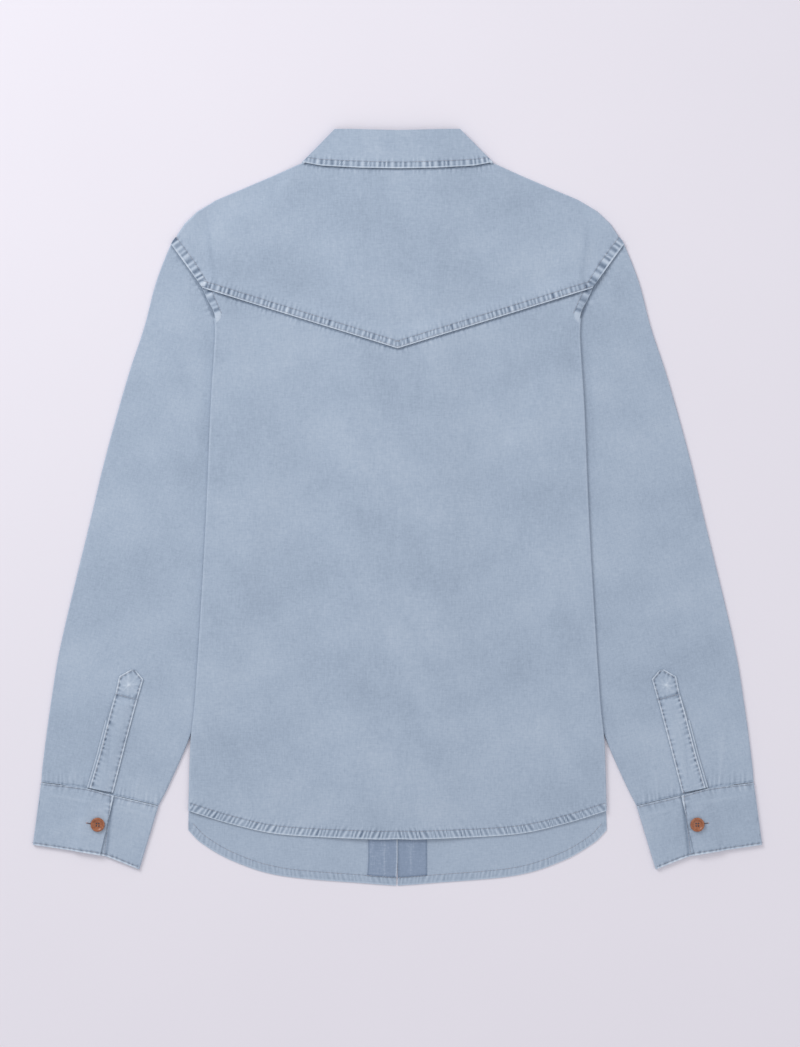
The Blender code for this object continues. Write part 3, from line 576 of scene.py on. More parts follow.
def shell(
    name: str, outer: Array, inner: Array, wear: Array, material: bpy.types.Material, nodes: Sequence[str],
    closed: bool = False, keep: Array | None = None,
) -> bpy.types.Object:
    """Makes a closed cloth shell between two grids and rides it on the shirt.

    Args:
        name: the piece's name.
        outer: points of the outer side, rows by columns by 3, in millimetres.
        inner: points of the inner side.
        wear: rows by columns of wear and painted shade.
        material: its finish.
        nodes: the solids it stands for.
        closed: join the last column to the first.
        keep: which cells are cloth.

    Returns:
        The piece.
    """
    rows, columns = wear.shape
    spans = columns if closed else columns - 1
    cells = np.ones((rows - 1, spans), bool) if keep is None else keep
    index = np.arange(rows * columns).reshape(rows, columns)
    if closed:
        index = np.hstack([index, index[:, :1]])
    total = rows * columns
    a, b = index[:-1, :-1], index[:-1, 1:]
    c, d = index[1:, 1:], index[1:, :-1]
    quads = [np.stack([a, b, c, d], -1)[cells], np.stack([d, c, b, a], -1)[cells] + total]
    padded = np.pad(cells, 1)
    if closed:
        padded[1:-1, 0] = cells[:, -1]
        padded[1:-1, -1] = cells[:, 0]
    neighbours = (padded[:-2, 1:-1], padded[1:-1, 2:], padded[2:, 1:-1], padded[1:-1, :-2])
    for start, end, beyond in (
        (a, b, neighbours[0]), (b, c, neighbours[1]), (c, d, neighbours[2]), (d, a, neighbours[3])
    ):
        rim = cells & ~beyond
        quads.append(np.stack([end[rim], start[rim], start[rim] + total, end[rim] + total], -1))
    faces = np.vstack(quads)
    points = np.vstack([outer.reshape(-1, 3), inner.reshape(-1, 3)]) * MM
    used, faces = np.unique(faces, return_inverse=True)
    faces = faces.reshape(-1, 4)
    points = points[used]
    tri = points[faces[:, :3]]
    flat = faces[: len(quads[0])]
    edge1 = points[flat[:, 1]] - points[flat[:, 0]]
    edge2 = points[flat[:, 3]] - points[flat[:, 0]]
    out = (outer - inner).reshape(-1, 3)
    out = np.vstack([out, out])[used][flat[:, 0]]
    if np.sum(np.cross(edge1, edge2) * out) < 0:
        faces = faces[:, ::-1]
    mesh = bpy.data.meshes.new(name)
    mesh.from_pydata(points.tolist(), [], faces.tolist())
    mesh.validate()
    values = np.concatenate([wear.ravel(), wear.ravel() * 0.3])[used]
    # the attribute holds wear and painted shade
    mesh.attributes.new("wear", "FLOAT", "POINT").data.foreach_set("value", np.clip(values, -1, 1).astype(np.float32))
    mesh.materials.append(material)
    mesh.shade_smooth()
    mesh.set_sharp_from_angle(angle=math.radians(55.0))
    piece = bpy.data.objects.new(name, mesh)
    bpy.context.scene.collection.objects.link(piece)
    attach(piece, "root")
    if nodes:
        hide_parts(*nodes)
    LOG.info("%s: %d faces", name, len(faces))
    return piece


def stacked(x: Array, y: Array, level: Array, rise: Array, up: bool, wall: float = WALL) -> tuple[Array, Array]:
    """Outer and inner points of cloth that lies flat.

    Args:
        x: places.
        y: places.
        level: underside of the frame's wall there.
        rise: how far the cloth stands up from its place.
        up: its outer side faces up.
        wall: the frame's wall.

    Returns:
        Outer and inner points.
    """
    thick = CLOTH * wall / WALL
    if up:
        high = level + wall - TOP_SINK + rise
        return np.stack([x, y, high], -1), np.stack([x, y, high - thick], -1)
    low = level + np.maximum(rise, 0.0) + 0 * x
    return np.stack([x, y, low], -1), np.stack([x, y, low + thick], -1)


def fold_arc(edge: Array, outward: Array, low: Array, high: Array, wall: float = WALL) -> tuple[Array, Array]:
    """Points round a fold for many rows, from the upper wall to the lower one.

    Args:
        edge: rows of x and y where the fold shows.
        outward: rows of the level direction that it bulges in.
        low: underside of the lower wall.
        high: underside of the upper wall.
        wall: the frame's wall.

    Returns:
        Outer and inner points, rows by steps by 3.
    """
    unit = outward / np.hypot(*outward.T)[:, None]
    radius = ((high + wall - TOP_SINK - low) / 2)[:, None]
    angle = (math.pi / 2 - math.pi * np.arange(ARC_STEPS + 1) / ARC_STEPS)[None, :]
    found = []
    for reach in (radius, np.maximum(radius - CLOTH, 0.08)):
        level = reach * np.cos(angle) - radius
        x = edge[:, :1] + unit[:, :1] * level
        y = edge[:, 1:] + unit[:, 1:] * level
        found.append(np.stack([x, y, low[:, None] + radius + reach * np.sin(angle)], -1))
    return found[0], found[1]


def effects(x: Array, y: Array, marks: Sequence[Seam | Crease], waves: float = 0.25) -> tuple[Array, Array]:
    """All seams and creases at once.

    Args:
        x: places.
        y: places.
        marks: seams and creases.
        waves: height of the cloth's own unevenness.

    Returns:
        Rise, and wear with painted shade.
    """
    rise = unevenness(x, y, waves)
    wear = 0.12 * unevenness(y * 1.3, x * 0.9, 1.0)
    for mark in marks:
        up, worn_and_shaded = mark.effect(x, y)
        rise = rise + up
        wear = wear + worn_and_shaded
    return np.clip(rise, -0.35, 1.5), wear


def steps(*runs: tuple[float, float, float]) -> Array:
    """Row places: from, to and spacing of each run, joined.

    Args:
        runs: each run's start, end and spacing.

    Returns:
        The places, in order.
    """
    parts = [np.linspace(a, b, max(int(abs(b - a) / gap), 1), endpoint=False) for a, b, gap in runs]
    return np.concatenate([*parts, [runs[-1][1]]])


# Heights, as in the frame


def wing_lift(x: Array, y: Array) -> Array:
    """How far the collar's wings hold the cloth above them off the surface.

    Args:
        x: x of each place, mm.
        y: y of each place, mm.

    Returns:
        The lift in millimetres.
    """
    return PLY * (1 - smooth(104.0, 122.0, np.abs(x))) * smooth(188.0, 232.0, y)


def left_lift(y: Array) -> Array:
    """Height of the left front edge as it climbs on to the right one.

    Args:
        y: y of each place, mm.

    Returns:
        The height in millimetres.
    """
    return OVERLAP_LEFT * smooth(-325.0, -255.0, y)


def front_level(side: Side, x: Array, y: Array) -> Array:
    """Underside of a front.

    Args:
        side: which side.
        x: x of each place, mm.
        y: y of each place, mm.

    Returns:
        The height in millimetres.
    """
    if side is Side.RIGHT:
        ridge = OVERLAP_RIGHT * smooth(-255.0, -200.0, y) * (1 - smooth(9.0, 42.0, x))
    else:
        ridge = left_lift(y) * smooth(-48.0, -17.0, x)
    return np.maximum(ridge, wing_lift(x, y))


def side_line(y: Array) -> Array:
    """The x beyond which more cloth lies under the back.

    Args:
        y: y of each place, mm.

    Returns:
        The distance from the middle, mm.
    """
    return np.where(y < UNDERARM_Y, FRONT_SIDE_ROUTE.x(y), ARMHOLE_ROUTE.x(y))


def under_level(y: Array) -> Array:
    """Underside of the back's turned-under side.

    Args:
        y: y of each place, mm.

    Returns:
        The height in millimetres.
    """
    return mix(PLY, 2 * PLY, smooth(-258.0, -228.0, y))


def crown(x: Array) -> Array:
    """How far the buttoned edges hold the back off its common level.

    Args:
        x: x of each place, mm.

    Returns:
        The lift in millimetres.
    """
    return (CENTRE_LEVEL - BODY_LEVEL) * (1 - smooth(33.0, 85.0, np.abs(x)))


def back_level(x: Array, y: Array) -> Array:
    """Underside of the back's upper wall.

    Args:
        x: x of each place, mm.
        y: y of each place, mm.

    Returns:
        The height in millimetres.
    """
    reach = np.abs(x)
    middle = mix(PLY, BODY_LEVEL, smooth(-330.0, -250.0, y))
    raised = (FACING_CLEAR + 0.15) * (1 - smooth(-298.0, -265.0, y))
    centre = np.maximum(PLY + left_lift(y) + raised, middle)
    side = under_level(y) + PLY
    line = side_line(y)
    near_side = smooth(0.0, 1.0, (reach - line + 30.0) / 29.5)
    past = smooth(-1.0, 8.0, reach - YOKE_FOLD_ROUTE.x(y)) * smooth(186.0, 196.0, y)
    level = middle + (centre - middle) * (1 - smooth(33.0, 85.0, reach))
    level = level + (side - level) * near_side
    return mix(level, BODY_LEVEL, past)


def seam_y(x: Array) -> Array:
    """The yoke's lower edge.

    Args:
        x: x of each place, mm.

    Returns:
        Its y, mm.
    """
    return YOKE_POINT_Y + YOKE_RISE * np.abs(x)


def shoulder_levels(x: Array) -> tuple[Array, Array]:
    """Undersides of the yoke's turned-under wall and its upper wall at the shoulder.

    Args:
        x: x of each place, mm.

    Returns:
        The two heights in millimetres.
    """
    under = PLY * (1 - smooth(104.0, 122.0, x))
    return under, PLY + under + PLY * smooth(184.0, 204.0, x)


def yoke_level(x: Array, y: Array, to_fold: Array) -> Array:
    """Underside of the yoke's upper wall.

    Args:
        x: x of each place, mm.
        y: y of each place, mm.
        to_fold: distance left to each line's far end, mm.

    Returns:
        The height in millimetres.
    """
    reach = np.abs(x)
    fold = YOKE_FOLD_ROUTE.x(y)
    ridge = smooth(-40.0, -6.0, reach - fold) * (1 - smooth(-1.0, 8.0, reach - fold))
    level = BODY_LEVEL + crown(x) + PLY * ridge * (1 - smooth(240.0, 285.0, y))
    over = shoulder_levels(reach)[1]
    share = (1 - smooth(3.0, 34.0, to_fold)) * smooth(NECK_X - 12.0, NECK_X + 6.0, reach)
    level = mix(level, over, share)
    return level + YOKE_CLEAR * (1 - smooth(8.0, 24.0, y - seam_y(x)))


def mirror(points: Array) -> Array:
    """The same points on the other side of x = 0.

    Args:
        points: points of the right side.

    Returns:
        The mirrored points.
    """
    return points * np.array([-1.0, 1.0, 1.0])


def mirrored_route(spots: Sequence[Sequence[float]], side: int) -> Route:
    """A route on the side with this sign.

    Args:
        spots: its x and y on the right.
        side: sign of the side.

    Returns:
        The route on that side.
    """
    return Route([(x * side, y) for x, y in spots])


def joined(halves: Sequence[tuple[Array, Array, Array]]) -> tuple[Array, Array, Array]:
    """Joins a right half and its left twin at x = 0.

    Args:
        halves: outer points, inner points and wear with painted shade of each half, both drawn on the right.

    Returns:
        Outer points, inner points and wear with painted shade of the whole.
    """
    right, left = halves
    turned = (mirror(left[0]), mirror(left[1]), left[2])
    outer, inner, wear = (np.concatenate([b[:, :0:-1], a], 1) for a, b in zip(right, turned))
    return outer, inner, wear


ARM_EDGE = ((226.4, 263.4), (209.7, 240.7), (197.0, 220.0), (189.5, 205.0), (184.0, 192.0))


# Pieces


@dataclass
class BackPanel:
    """The back below the yoke, with its sides folded under."""

    finishes: Finishes
    column_gap: float = 1.35
    under_columns: int = 8

    def build(self) -> bpy.types.Object:
        """Builds the back.

        Returns:
            What was built.
        """
        side_y = steps((HEM_SIDE_Y, -290.0, 1.1), (-290.0, 168.0, 6.5), (168.0, 222.0, 1.5))
        fold_x = FOLD_ROUTE.x(side_y)
        turned = under_level(side_y)
        flared = side_y > FOLD_TOP_Y
        edge_level = np.where(flared, back_level(fold_x, side_y), turned + PLY)
        ones = np.tile([1.0, 0.0], (len(side_y), 1))
        arc_out, arc_in = fold_arc(np.stack([fold_x, side_y], 1), ones, edge_level - PLY, edge_level)
        end_x = arc_out[:, :1, 0]
        share = np.linspace(0, 1, int(209 / self.column_gap))[None, :-1]
        x = share * end_x
        rise = (side_y - HEM_SIDE_Y)[:, None] / (222.0 - HEM_SIDE_Y)
        low = BACK_HEM_ROUTE.y(share * 209.0) - HEM_SIDE_Y
        high = seam_y(x) - seam_y(end_x)
        y = side_y[:, None] + mix(low, high, smooth(0, 1, rise))
        seam_end = mix(HEM_SIDE_Y, UNDERARM_Y, (side_y - HEM_SIDE_Y) / (FOLD_TOP_Y - HEM_SIDE_Y))
        seam_x = np.minimum(FRONT_SIDE_ROUTE.x(seam_end), fold_x - 5.0)
        part = np.linspace(0, 1, self.under_columns + 1)[None, 1:]
        start_x = arc_out[:, -1:, 0]
        ux = mix(start_x, seam_x[:, None], part)
        uy = mix(side_y[:, None], seam_end[:, None], part)
        under_out, under_in = stacked(ux, uy, turned[:, None] + 0 * ux, 0 * ux, False)
        lap_x = seam_x[:, None] - SEAM_LAP
        lap_out, lap_in = stacked(lap_x, seam_end[:, None] - 1.0, PLY + 0 * lap_x, 0 * lap_x, False)
        halves = []
        for sign in (1, -1):
            marks = self.marks(sign)
            up, wear = effects(x * sign, y, marks)
            up = up * smooth(0.0, 3.0, end_x - x) + 0 * up
            top_out, top_in = stacked(x, y, back_level(x, y), up, True)
            edge_wear = 0.25 + 0 * arc_out[..., 0]
            outs = np.concatenate([top_out, arc_out, under_out, lap_out], 1)
            ins = np.concatenate([top_in, arc_in, under_in, lap_in], 1)
            tone = np.concatenate([wear, edge_wear * 0.4, 0 * ux - 0.1, 0 * lap_x], 1)
            halves.append((outs, ins, tone))
        outer, inner, wear = joined(halves)
        beyond = ARC_STEPS + self.under_columns + 1
        keep = np.ones((len(side_y) - 1, wear.shape[1] - 1), bool)
        keep[side_y[:-1] >= FOLD_TOP_Y - 1.0, :beyond] = False
        keep[side_y[:-1] >= FOLD_TOP_Y - 1.0, -beyond:] = False
        return shell("back", outer, inner, wear, self.finishes.denim, ["back_panel"], keep=keep)

    def marks(self, sign: int) -> list[Seam | Crease]:
        """The back's seams and creases on one side.

        Args:
            sign: 1 for the right half, -1 for the left.

        Returns:
            The seams and creases.
        """
        hem = mirrored_route(BACK_HEM, sign)
        under_yoke = Route([(0.0, YOKE_POINT_Y - 0.5), (194.0 * sign, YOKE_POINT_Y - 0.5 + 194.0 * YOKE_RISE)])
        return [
            Seam(hem, 8.2, 4.4, 0.36, 15.0, 0.35, 0.95, 1.0 + sign),
            # faint puckers, and a painted shade line on the back just below the yoke's lapped edge
            Seam(under_yoke, 1.2, 4.7, 0.2, 9.0, 0.0, -0.7, 3.0 + sign),
            Seam(mirrored_route(ARM_EDGE, sign), 8.0, 6.2, 0.3, 11.0, 0.0, 0.6, 5.0),
            # a shallow trough with a little painted shade in it
            Crease((176.0 * sign, 196.0), (172.0 * sign, 120.0), 9.0, -0.3, -0.05),
            Crease((150.0 * sign, -60.0), (160.0 * sign, -230.0), 16.0, 0.3, 0.0),
        ]


@dataclass
class Yoke:
    """The pointed yoke with its worn double-stitched edge."""

    finishes: Finishes

    def build(self) -> bpy.types.Object:
        """Builds the yoke.

        Returns:
            What was built.
        """
        table = np.array(YOKE_LINES)
        spread = np.concatenate(
            [
                np.linspace(i, i + 1, n, endpoint=False) for i,
                n in enumerate((18, 18, 18, 16, 14, 14, 14, 12, 8, 6, 5, 7))
            ] + [[12.0]]
        )
        knots = np.arange(len(table))
        seam_x, top_x, top_y = (np.interp(spread, knots, table[:, k]) for k in range(3))
        turning = (spread >= NECK_LINE) & (spread <= ARM_LINE)
        before = np.clip(spread - 0.6, NECK_LINE, ARM_LINE - 0.5)
        after = np.clip(spread + 0.6, NECK_LINE + 0.5, ARM_LINE)
        outward = np.stack([
            np.interp(before, knots, table[:, 2]) - np.interp(after, knots, table[:, 2]),
            np.interp(after, knots, table[:, 1]) - np.interp(before, knots, table[:, 1]),
        ], 1)
        under, over = shoulder_levels(top_x)
        arc_out, arc_in = fold_arc(np.stack([top_x, top_y], 1), outward, under, over)
        start_x = np.where(turning, arc_out[:, 0, 0], top_x)
        start_y = np.where(turning, arc_out[:, 0, 1], top_y)
        base_y = seam_y(seam_x)
        length = np.hypot(start_x - seam_x, start_y - base_y)
        near = steps((0.0, 18.0, 1.1))
        far = np.concatenate([np.linspace(0.0, 0.72, 22, endpoint=False), np.linspace(0.72, 1.0, 30)])[1:]
        part = np.concatenate([near[:, None] / length[None, :], mix((18.0 / length)[None, :], 1.0, far[:, None])], 0)
        x = mix(seam_x[None, :], start_x[None, :], part)
        y = mix(base_y[None, :], start_y[None, :], part)
        level = yoke_level(x, y, length[None, :] * (1 - part))
        turns = np.clip((spread - NECK_LINE) / (ARM_LINE - NECK_LINE), 0, 1)
        end_x, end_y = top_x + mix(-5.0, -15.6, turns), top_y + mix(-24.5, -21.2, turns)
        share = np.linspace(0, 1, 8)[1:, None]
        ux, uy = mix(start_x[None, :], end_x[None, :], share), mix(start_y[None, :], end_y[None, :], share)
        under_out, under_in = stacked(ux, uy, under[None, :] + 0 * ux, 0 * ux, False)
        halves = []
        for sign in (1, -1):
            rise, wear = effects(x * sign, y, self.marks(sign))
            calm = smooth(0.0, 4.0, length[None, :] * (1 - part))
            top_out, top_in = stacked(x, y, level, rise * calm, True)
            outs = np.concatenate([top_out, arc_out.transpose(1, 0, 2), under_out], 0)
            ins = np.concatenate([top_in, arc_in.transpose(1, 0, 2), under_in], 0)
            tone = np.concatenate([wear, 0.12 + 0 * arc_out[..., 0].T, 0 * ux], 0)
            halves.append((outs, ins, tone))
        outer, inner, wear = joined(halves)
        flat = len(part) - 1
        keep = np.ones((wear.shape[0] - 1, wear.shape[1] - 1), bool)
        inside = turning[:-1] & turning[1:]
        keep[flat:, :] = np.concatenate([inside[::-1], inside])[None, :]
        return shell("yoke", outer, inner, wear, self.finishes.denim, ["back_yoke"], keep=keep)

    def marks(self, sign: int) -> list[Seam | Crease]:
        """The yoke's seams and creases on one side.

        Args:
            sign: 1 for the right half, -1 for the left.

        Returns:
            The seams and creases.
        """
        edge = Route([(0.0, YOKE_POINT_Y), (194.5 * sign, YOKE_POINT_Y + 194.5 * YOKE_RISE)])
        return [
            Seam(edge, 7.0, 4.6, 0.38, 16.0, 0.0, 0.95, 2.0 + sign),
            Seam(mirrored_route(ARM_EDGE, sign), 8.4, 6.4, 0.34, 12.0, 0.0, 0.8, 6.0 + sign),
            # faint puckers, and a painted shade line on the yoke just below the collar leaf's edge
            Seam(
                mirrored_route([(0.0, 338.6), (38.0, 339.2), (76.0, 341.6), (97.0, 345.0)], sign), 1.0, 5.0, 0.15, 9.0,
                0.1, -0.6, 7.0
            ),
            # troughs by the shoulder fold with painted shade in them
            Crease((191.0 * sign, 284.0), (184.0 * sign, 236.0), 3.0, -0.35, -0.16),
            Crease((184.0 * sign, 240.0), (182.0 * sign, 212.0), 2.4, -0.3, -0.14),
            Crease((96.0 * sign, 336.0), (120.0 * sign, 318.0), 3.5, 0.25, 0.06),
        ]


@dataclass
class Sleeve:
    """A sleeve with its placket, binding and cuff."""

    finishes: Finishes
    side: Side

    def spots(self, along: Array, across: Array) -> tuple[Array, Array]:
        """Points of the flat sleeve: along from the armhole, across from the outer edge.

        Args:
            along: shares from the armhole to the cuff.
            across: shares from the outer edge to the inner one.

        Returns:
            Their x and y, mm.
        """
        outer, inner, bow = OUTER_ROUTE.at(along), INNER_ROUTE.at(along), ARMHOLE_ROUTE.at(across)
        fade = (1 - along) ** 4
        x = mix(outer[..., 0], inner[..., 0], across) + (bow[..., 0] - mix(222.0, 130.0, across)) * fade
        y = mix(outer[..., 1], inner[..., 1], across) + (bow[..., 1] - mix(270.0, 68.0, across)) * fade
        line = Route(CUFF_TOP).y(x) + 0.5
        return x, mix(y, np.maximum(line, y - 30.0), along > 0.999)

    def material(self) -> bpy.types.Material:
        """The sleeve's denim, with its grain along the sleeve.

        Returns:
            The material.
        """
        return self.finishes.sleeve_right if self.side is Side.RIGHT else self.finishes.sleeve_left

    def place(self, points: Array) -> Array:
        """Puts points on this sleeve's side.

        Args:
            points: points drawn on the right.

        Returns:
            The points on this side.
        """
        return points if self.side is Side.RIGHT else mirror(points)

    def build(self) -> list[bpy.types.Object]:
        """Builds the sleeve and what is sewn to it.

        Returns:
            What was built.
        """
        return [self.tube(), *self.placket(), self.cuff()]

    def tube(self) -> bpy.types.Object:
        """The flattened tube from the armhole to the cuff.

        Returns:
            The piece.
        """
        along = np.concatenate(
            [steps((0.0, 0.03, 0.003)), steps((0.03, 0.955, 0.012))[1:], steps((0.955, 1.0, 0.0025))[1:]]
        )
        along[-1] = 1.0
        outer, inner = (np.stack(self.spots(along, np.full_like(along, k)), 1) for k in (0.0, 1.0))
        zero = 0 * along
        arc1_out, arc1_in = fold_arc(outer, outer - inner, zero, zero + PLY)
        arc2_out, arc2_in = fold_arc(inner, inner - outer, zero, zero + PLY)
        across = np.linspace(0, 1, 112)[1:-1]
        a, c = np.meshgrid(along, across, indexing="ij")
        x, y = self.spots(a, c)
        rise, wear = effects(x * self.side.value, y, self.marks())
        rise = rise * smooth(0, 0.02, c) * smooth(0, 0.02, 1 - c)
        top_out, top_in = stacked(x, y, PLY + 0 * x, rise, True)
        base_out, base_in = stacked(x[:, ::8], y[:, ::8], 0 * x[:, ::8], 0 * x[:, ::8], False)
        ring_out = np.concatenate([arc1_out[:, ::-1], top_out, arc2_out, base_out[:, ::-1]], 1)
        ring_in = np.concatenate([arc1_in[:, ::-1], top_in, arc2_in, base_in[:, ::-1]], 1)
        tone = np.concatenate([0 * arc1_out[..., 0] + 0.06, wear, 0 * arc2_out[..., 0], 0 * base_out[..., 0]], 1)
        name = f"sleeve_shell_{self.side.word}"
        return shell(
            name, self.place(ring_out), self.place(ring_in), tone, self.material(),
            [f"sleeve_{self.side.word}"], closed=True
        )

    def marks(self) -> list[Seam | Crease]:
        """The sleeve's seams and creases, uneven from side to side.

        Returns:
            The seams and creases.
        """
        s = self.side.value
        cuff = mirrored_route(CUFF_TOP, s)
        arm = mirrored_route(ARM_EDGE, s)
        marks: list[Seam | Crease] = [
            Seam(cuff, 1.3, 4.8, 0.4, 17.0, 0.15, 0.1, 8.0 + s),
            # a painted shade line on the sleeve beside the body's lapped armhole edge
            Seam(arm, 1.0, 6.0, 0.2, 9.0, 0.0, -0.45, 9.0 + s),
            # a trough with painted shade in it
            Crease((188.0 * s, 180.0), (196.0 * s, 20.0), 5.0, -0.3, -0.10),
        ]
        folds = (
            ((216.0, 236.0), (208.0, 176.0), 7.0, 0.45, 0.03), ((230.0, 214.0), (214.0, 120.0), 9.0, 0.35, 0.02),
            ((322.0, -278.0), (325.0, -222.0 if s > 0 else -256.0), 1.6, 0.4, 0.12),
            ((262.0, -286.0), (256.0, -262.0), 2.0, 0.35, 0.08),
        )
        marks += [Crease((a[0] * s, a[1]), (b[0] * s, b[1]), w, h, t) for a, b, w, h, t in folds]
        return marks

    def placket(self) -> list[bpy.types.Object]:
        """The pointed placket and the edge of its binding.

        Returns:
            The placket and its binding.
        """
        outer, inner = Route(PLACKET_OUTER, straight=True), Route(PLACKET_INNER, straight=True)
        t = np.linspace(0, 0.985, 150)[:, None]
        knots_o, knots_i = np.array(PLACKET_OUTER), np.array(PLACKET_INNER)
        heights = np.concatenate([[0], np.cumsum(np.hypot(*np.diff((knots_o + knots_i) / 2, axis=0).T))])
        place = t * heights[-1]
        ox, oy, ix, iy = (
            np.interp(place, heights, k) for k in (knots_o[:, 0], knots_o[:, 1], knots_i[:, 0], knots_i[:, 1])
        )
        c = np.linspace(0, 1, 26)[None, :]
        x, y = mix(ox, ix, c), mix(oy, iy, c)
        s = self.side.value
        marks = [
            Seam(
                Route([(px * s, py) for px, py in PLACKET_OUTER], straight=True), 3.0, 5.4, 0.22, 10.0, 0.2, 0.8,
                11.0 + s
            ),
            Seam(
                Route([(px * s, py) for px, py in PLACKET_INNER], straight=True), 2.2, 6.2, 0.15, 7.0, 0.0, 0.8,
                12.0 + s
            ),
            Seam(
                Route([(281.2 * s, -186.2), (260.2 * s, -191.6)], straight=True), 0.8, 4.0, 0.18, 4.0, 0.0, -0.35, 13.0
            ),
            # a trough with painted shade in it
            Crease((285.0 * s, -205.0), (291.0 * s, -276.0), 1.6, -0.22, -0.12),
            Crease((268.5 * s, -166.0), (269.5 * s, -186.0), 1.0, 0.25, 0.3),
            Crease((258.5 * s, -176.0), (278.5 * s, -178.5), 1.0, 0.25, 0.3),
            Crease((261.0 * s, -170.0), (276.5 * s, -185.0), 0.8, 0.2, 0.25),
            Crease((275.0 * s, -169.5), (261.5 * s, -184.0), 0.8, 0.2, 0.25),
        ]
        rise, wear = effects(x * s, y, marks, 0.08)
        level = 2 * PLY + PLY * (1 - smooth(0.55, 1.0, c)) * smooth(0.0, 0.1, 0.78 - t) + 0 * x
        top = stacked(x, y, level - 0.15, rise, True)
        word = self.side.word
        over = shell(
            f"placket_{word}", self.place(top[0]), self.place(top[1]), wear + 0.06, self.material(),
            [f"sleeve_placket_{word}"]
        )
        t = np.linspace(0, 0.6, 70)[:, None] * np.ones((1, 10))
        place = t * heights[-1]
        ox, oy, ix, iy = (
            np.interp(place, heights, k) for k in (knots_o[:, 0], knots_o[:, 1], knots_i[:, 0], knots_i[:, 1])
        )
        c = np.linspace(-0.108, 0.39, 10)[None, :]
        x, y = mix(ox, ix, c), mix(oy, iy, c)
        # a pale fold edge, then painted shade beside and under the placket's edge
        rise, wear = 0 * x, 0.75 * (1 - smooth(-0.108, -0.05, c)) + 0 * x - 0.2 * smooth(-0.05, -0.01, c)
        low = stacked(x, y, 2 * PLY - 0.1 + 0 * x, rise, True)
        under = shell(
            f"binding_{word}", self.place(low[0]), self.place(low[1]), wear, self.material(),
            [f"sleeve_binding_{word}"]
        )
        return [over, under]

    def cuff(self) -> bpy.types.Object:
        """The cuff, wound flat with its overlap on top.

        Returns:
            The piece.
        """
        top, foot = Route(CUFF_TOP, straight=True), Route(CUFF_FOOT, straight=True)
        down = steps((0.0, 0.2, 0.018), (0.2, 0.88, 0.03), (0.88, 1.0, 0.015))
        start = CUFF_EDGE - CUFF_UNDERLAP / CUFF_WIDTH
        ramp = start - CUFF_RAMP / CUFF_WIDTH
        s = self.side.value

        def grid(across: Array) -> tuple[Array, Array]:
            """Flat points for these shares of the width.

            Args:
                across: shares from the outer edge to the inner one.

            Returns:
                Their x and y, mm.
            """
            d, c = np.meshgrid(down, across, indexing="ij")
            a, b = top.at(c), foot.at(c)
            return mix(a[..., 0], b[..., 0], d), mix(a[..., 1], b[..., 1], d)

        edge_line = Route([(284.5 * s, -287.2), (291.0 * s, -348.3)], straight=True)
        marks = [
            Seam(mirrored_route(CUFF_TOP, s), 1.5, 6.5, 0.35, 10.0, 0.15, 0.55, 14.0 + s),
            Seam(mirrored_route(CUFF_FOOT, s), 2.0, 5.5, 0.12, 5.0, 0.3, 0.8, 15.0 + s),
            Crease((352.0 * s, -286.0), (296.0 * s, -296.0), 1.4, 0.22, 0.12),
            Crease((280.0 * s, -299.0), (244.0 * s, -309.0), 1.4, 0.2, 0.1),
            Crease((306.0 * s, -300.0), (292.0 * s, -303.0), 1.2, 0.3, 0.15),
            Crease((292.0 * s, -309.0), (287.0 * s, -311.0), 1.0, 0.3, 0.15),
            Crease((293.0 * s, -324.0), (289.0 * s, -322.0), 1.0, 0.3, 0.15),
            Crease((330.0 * s, -318.0), (350.0 * s, -330.0), 6.0, 0.25, 0.03),
        ]
        over_marks = [*marks, Seam(edge_line, 2.0, 6.5, 0.4, 8.0, 0.25, 0.85, 16.0 + s)]
        pieces = []
        over_across = np.linspace(CUFF_EDGE, 0.0, 70)[:-1]
        x, y = grid(over_across)
        rise, wear = effects(x * s, y, over_marks, 0.12)
        level = mix(CUFF_PLY, 2 * CUFF_PLY, smooth(ramp, start - 0.01, over_across))[None, :] + 0 * x
        pieces.append((*stacked(x, y, level, rise * smooth(0, 0.03, over_across)[None, :], True, CUFF_WALL), wear))
        ends = [(mix(top.at(k), foot.at(k), down[:, None])) for k in (0.0, 1.0)]
        zero = 0 * down
        arc = fold_arc(ends[0], ends[0] - ends[1], zero, zero + CUFF_PLY, CUFF_WALL)
        pieces.append((*arc, 0 * arc[0][..., 0] + 0.1))
        x, y = grid(np.linspace(0.02, 0.98, 14))
        pieces.append((*stacked(x, y, 0 * x, 0 * x, False, CUFF_WALL), 0 * x))
        arc = fold_arc(ends[1], ends[1] - ends[0], zero, zero + CUFF_PLY, CUFF_WALL)
        pieces.append((arc[0][:, ::-1], arc[1][:, ::-1], 0 * arc[0][..., 0] + 0.1))
        under_across = np.linspace(0.98, start, 56)
        x, y = grid(under_across)
        rise, wear = effects(x * s, y, marks, 0.12)
        shade = -0.5 * np.exp(-(((edge_line.measure(x * s, y)[0]) / 1.5) ** 2))
        pieces.append((*stacked(x, y, CUFF_PLY + 0 * x - 0.1, np.minimum(rise, 0.25), True, CUFF_WALL), wear + shade))
        out, ins, tone = (np.concatenate([p[k] for p in pieces], 1) for k in range(3))
        name = f"cuff_shell_{self.side.word}"
        return shell(
            name, self.place(out), self.place(ins), tone, self.material(), [f"cuff_{self.side.word}"]
        )


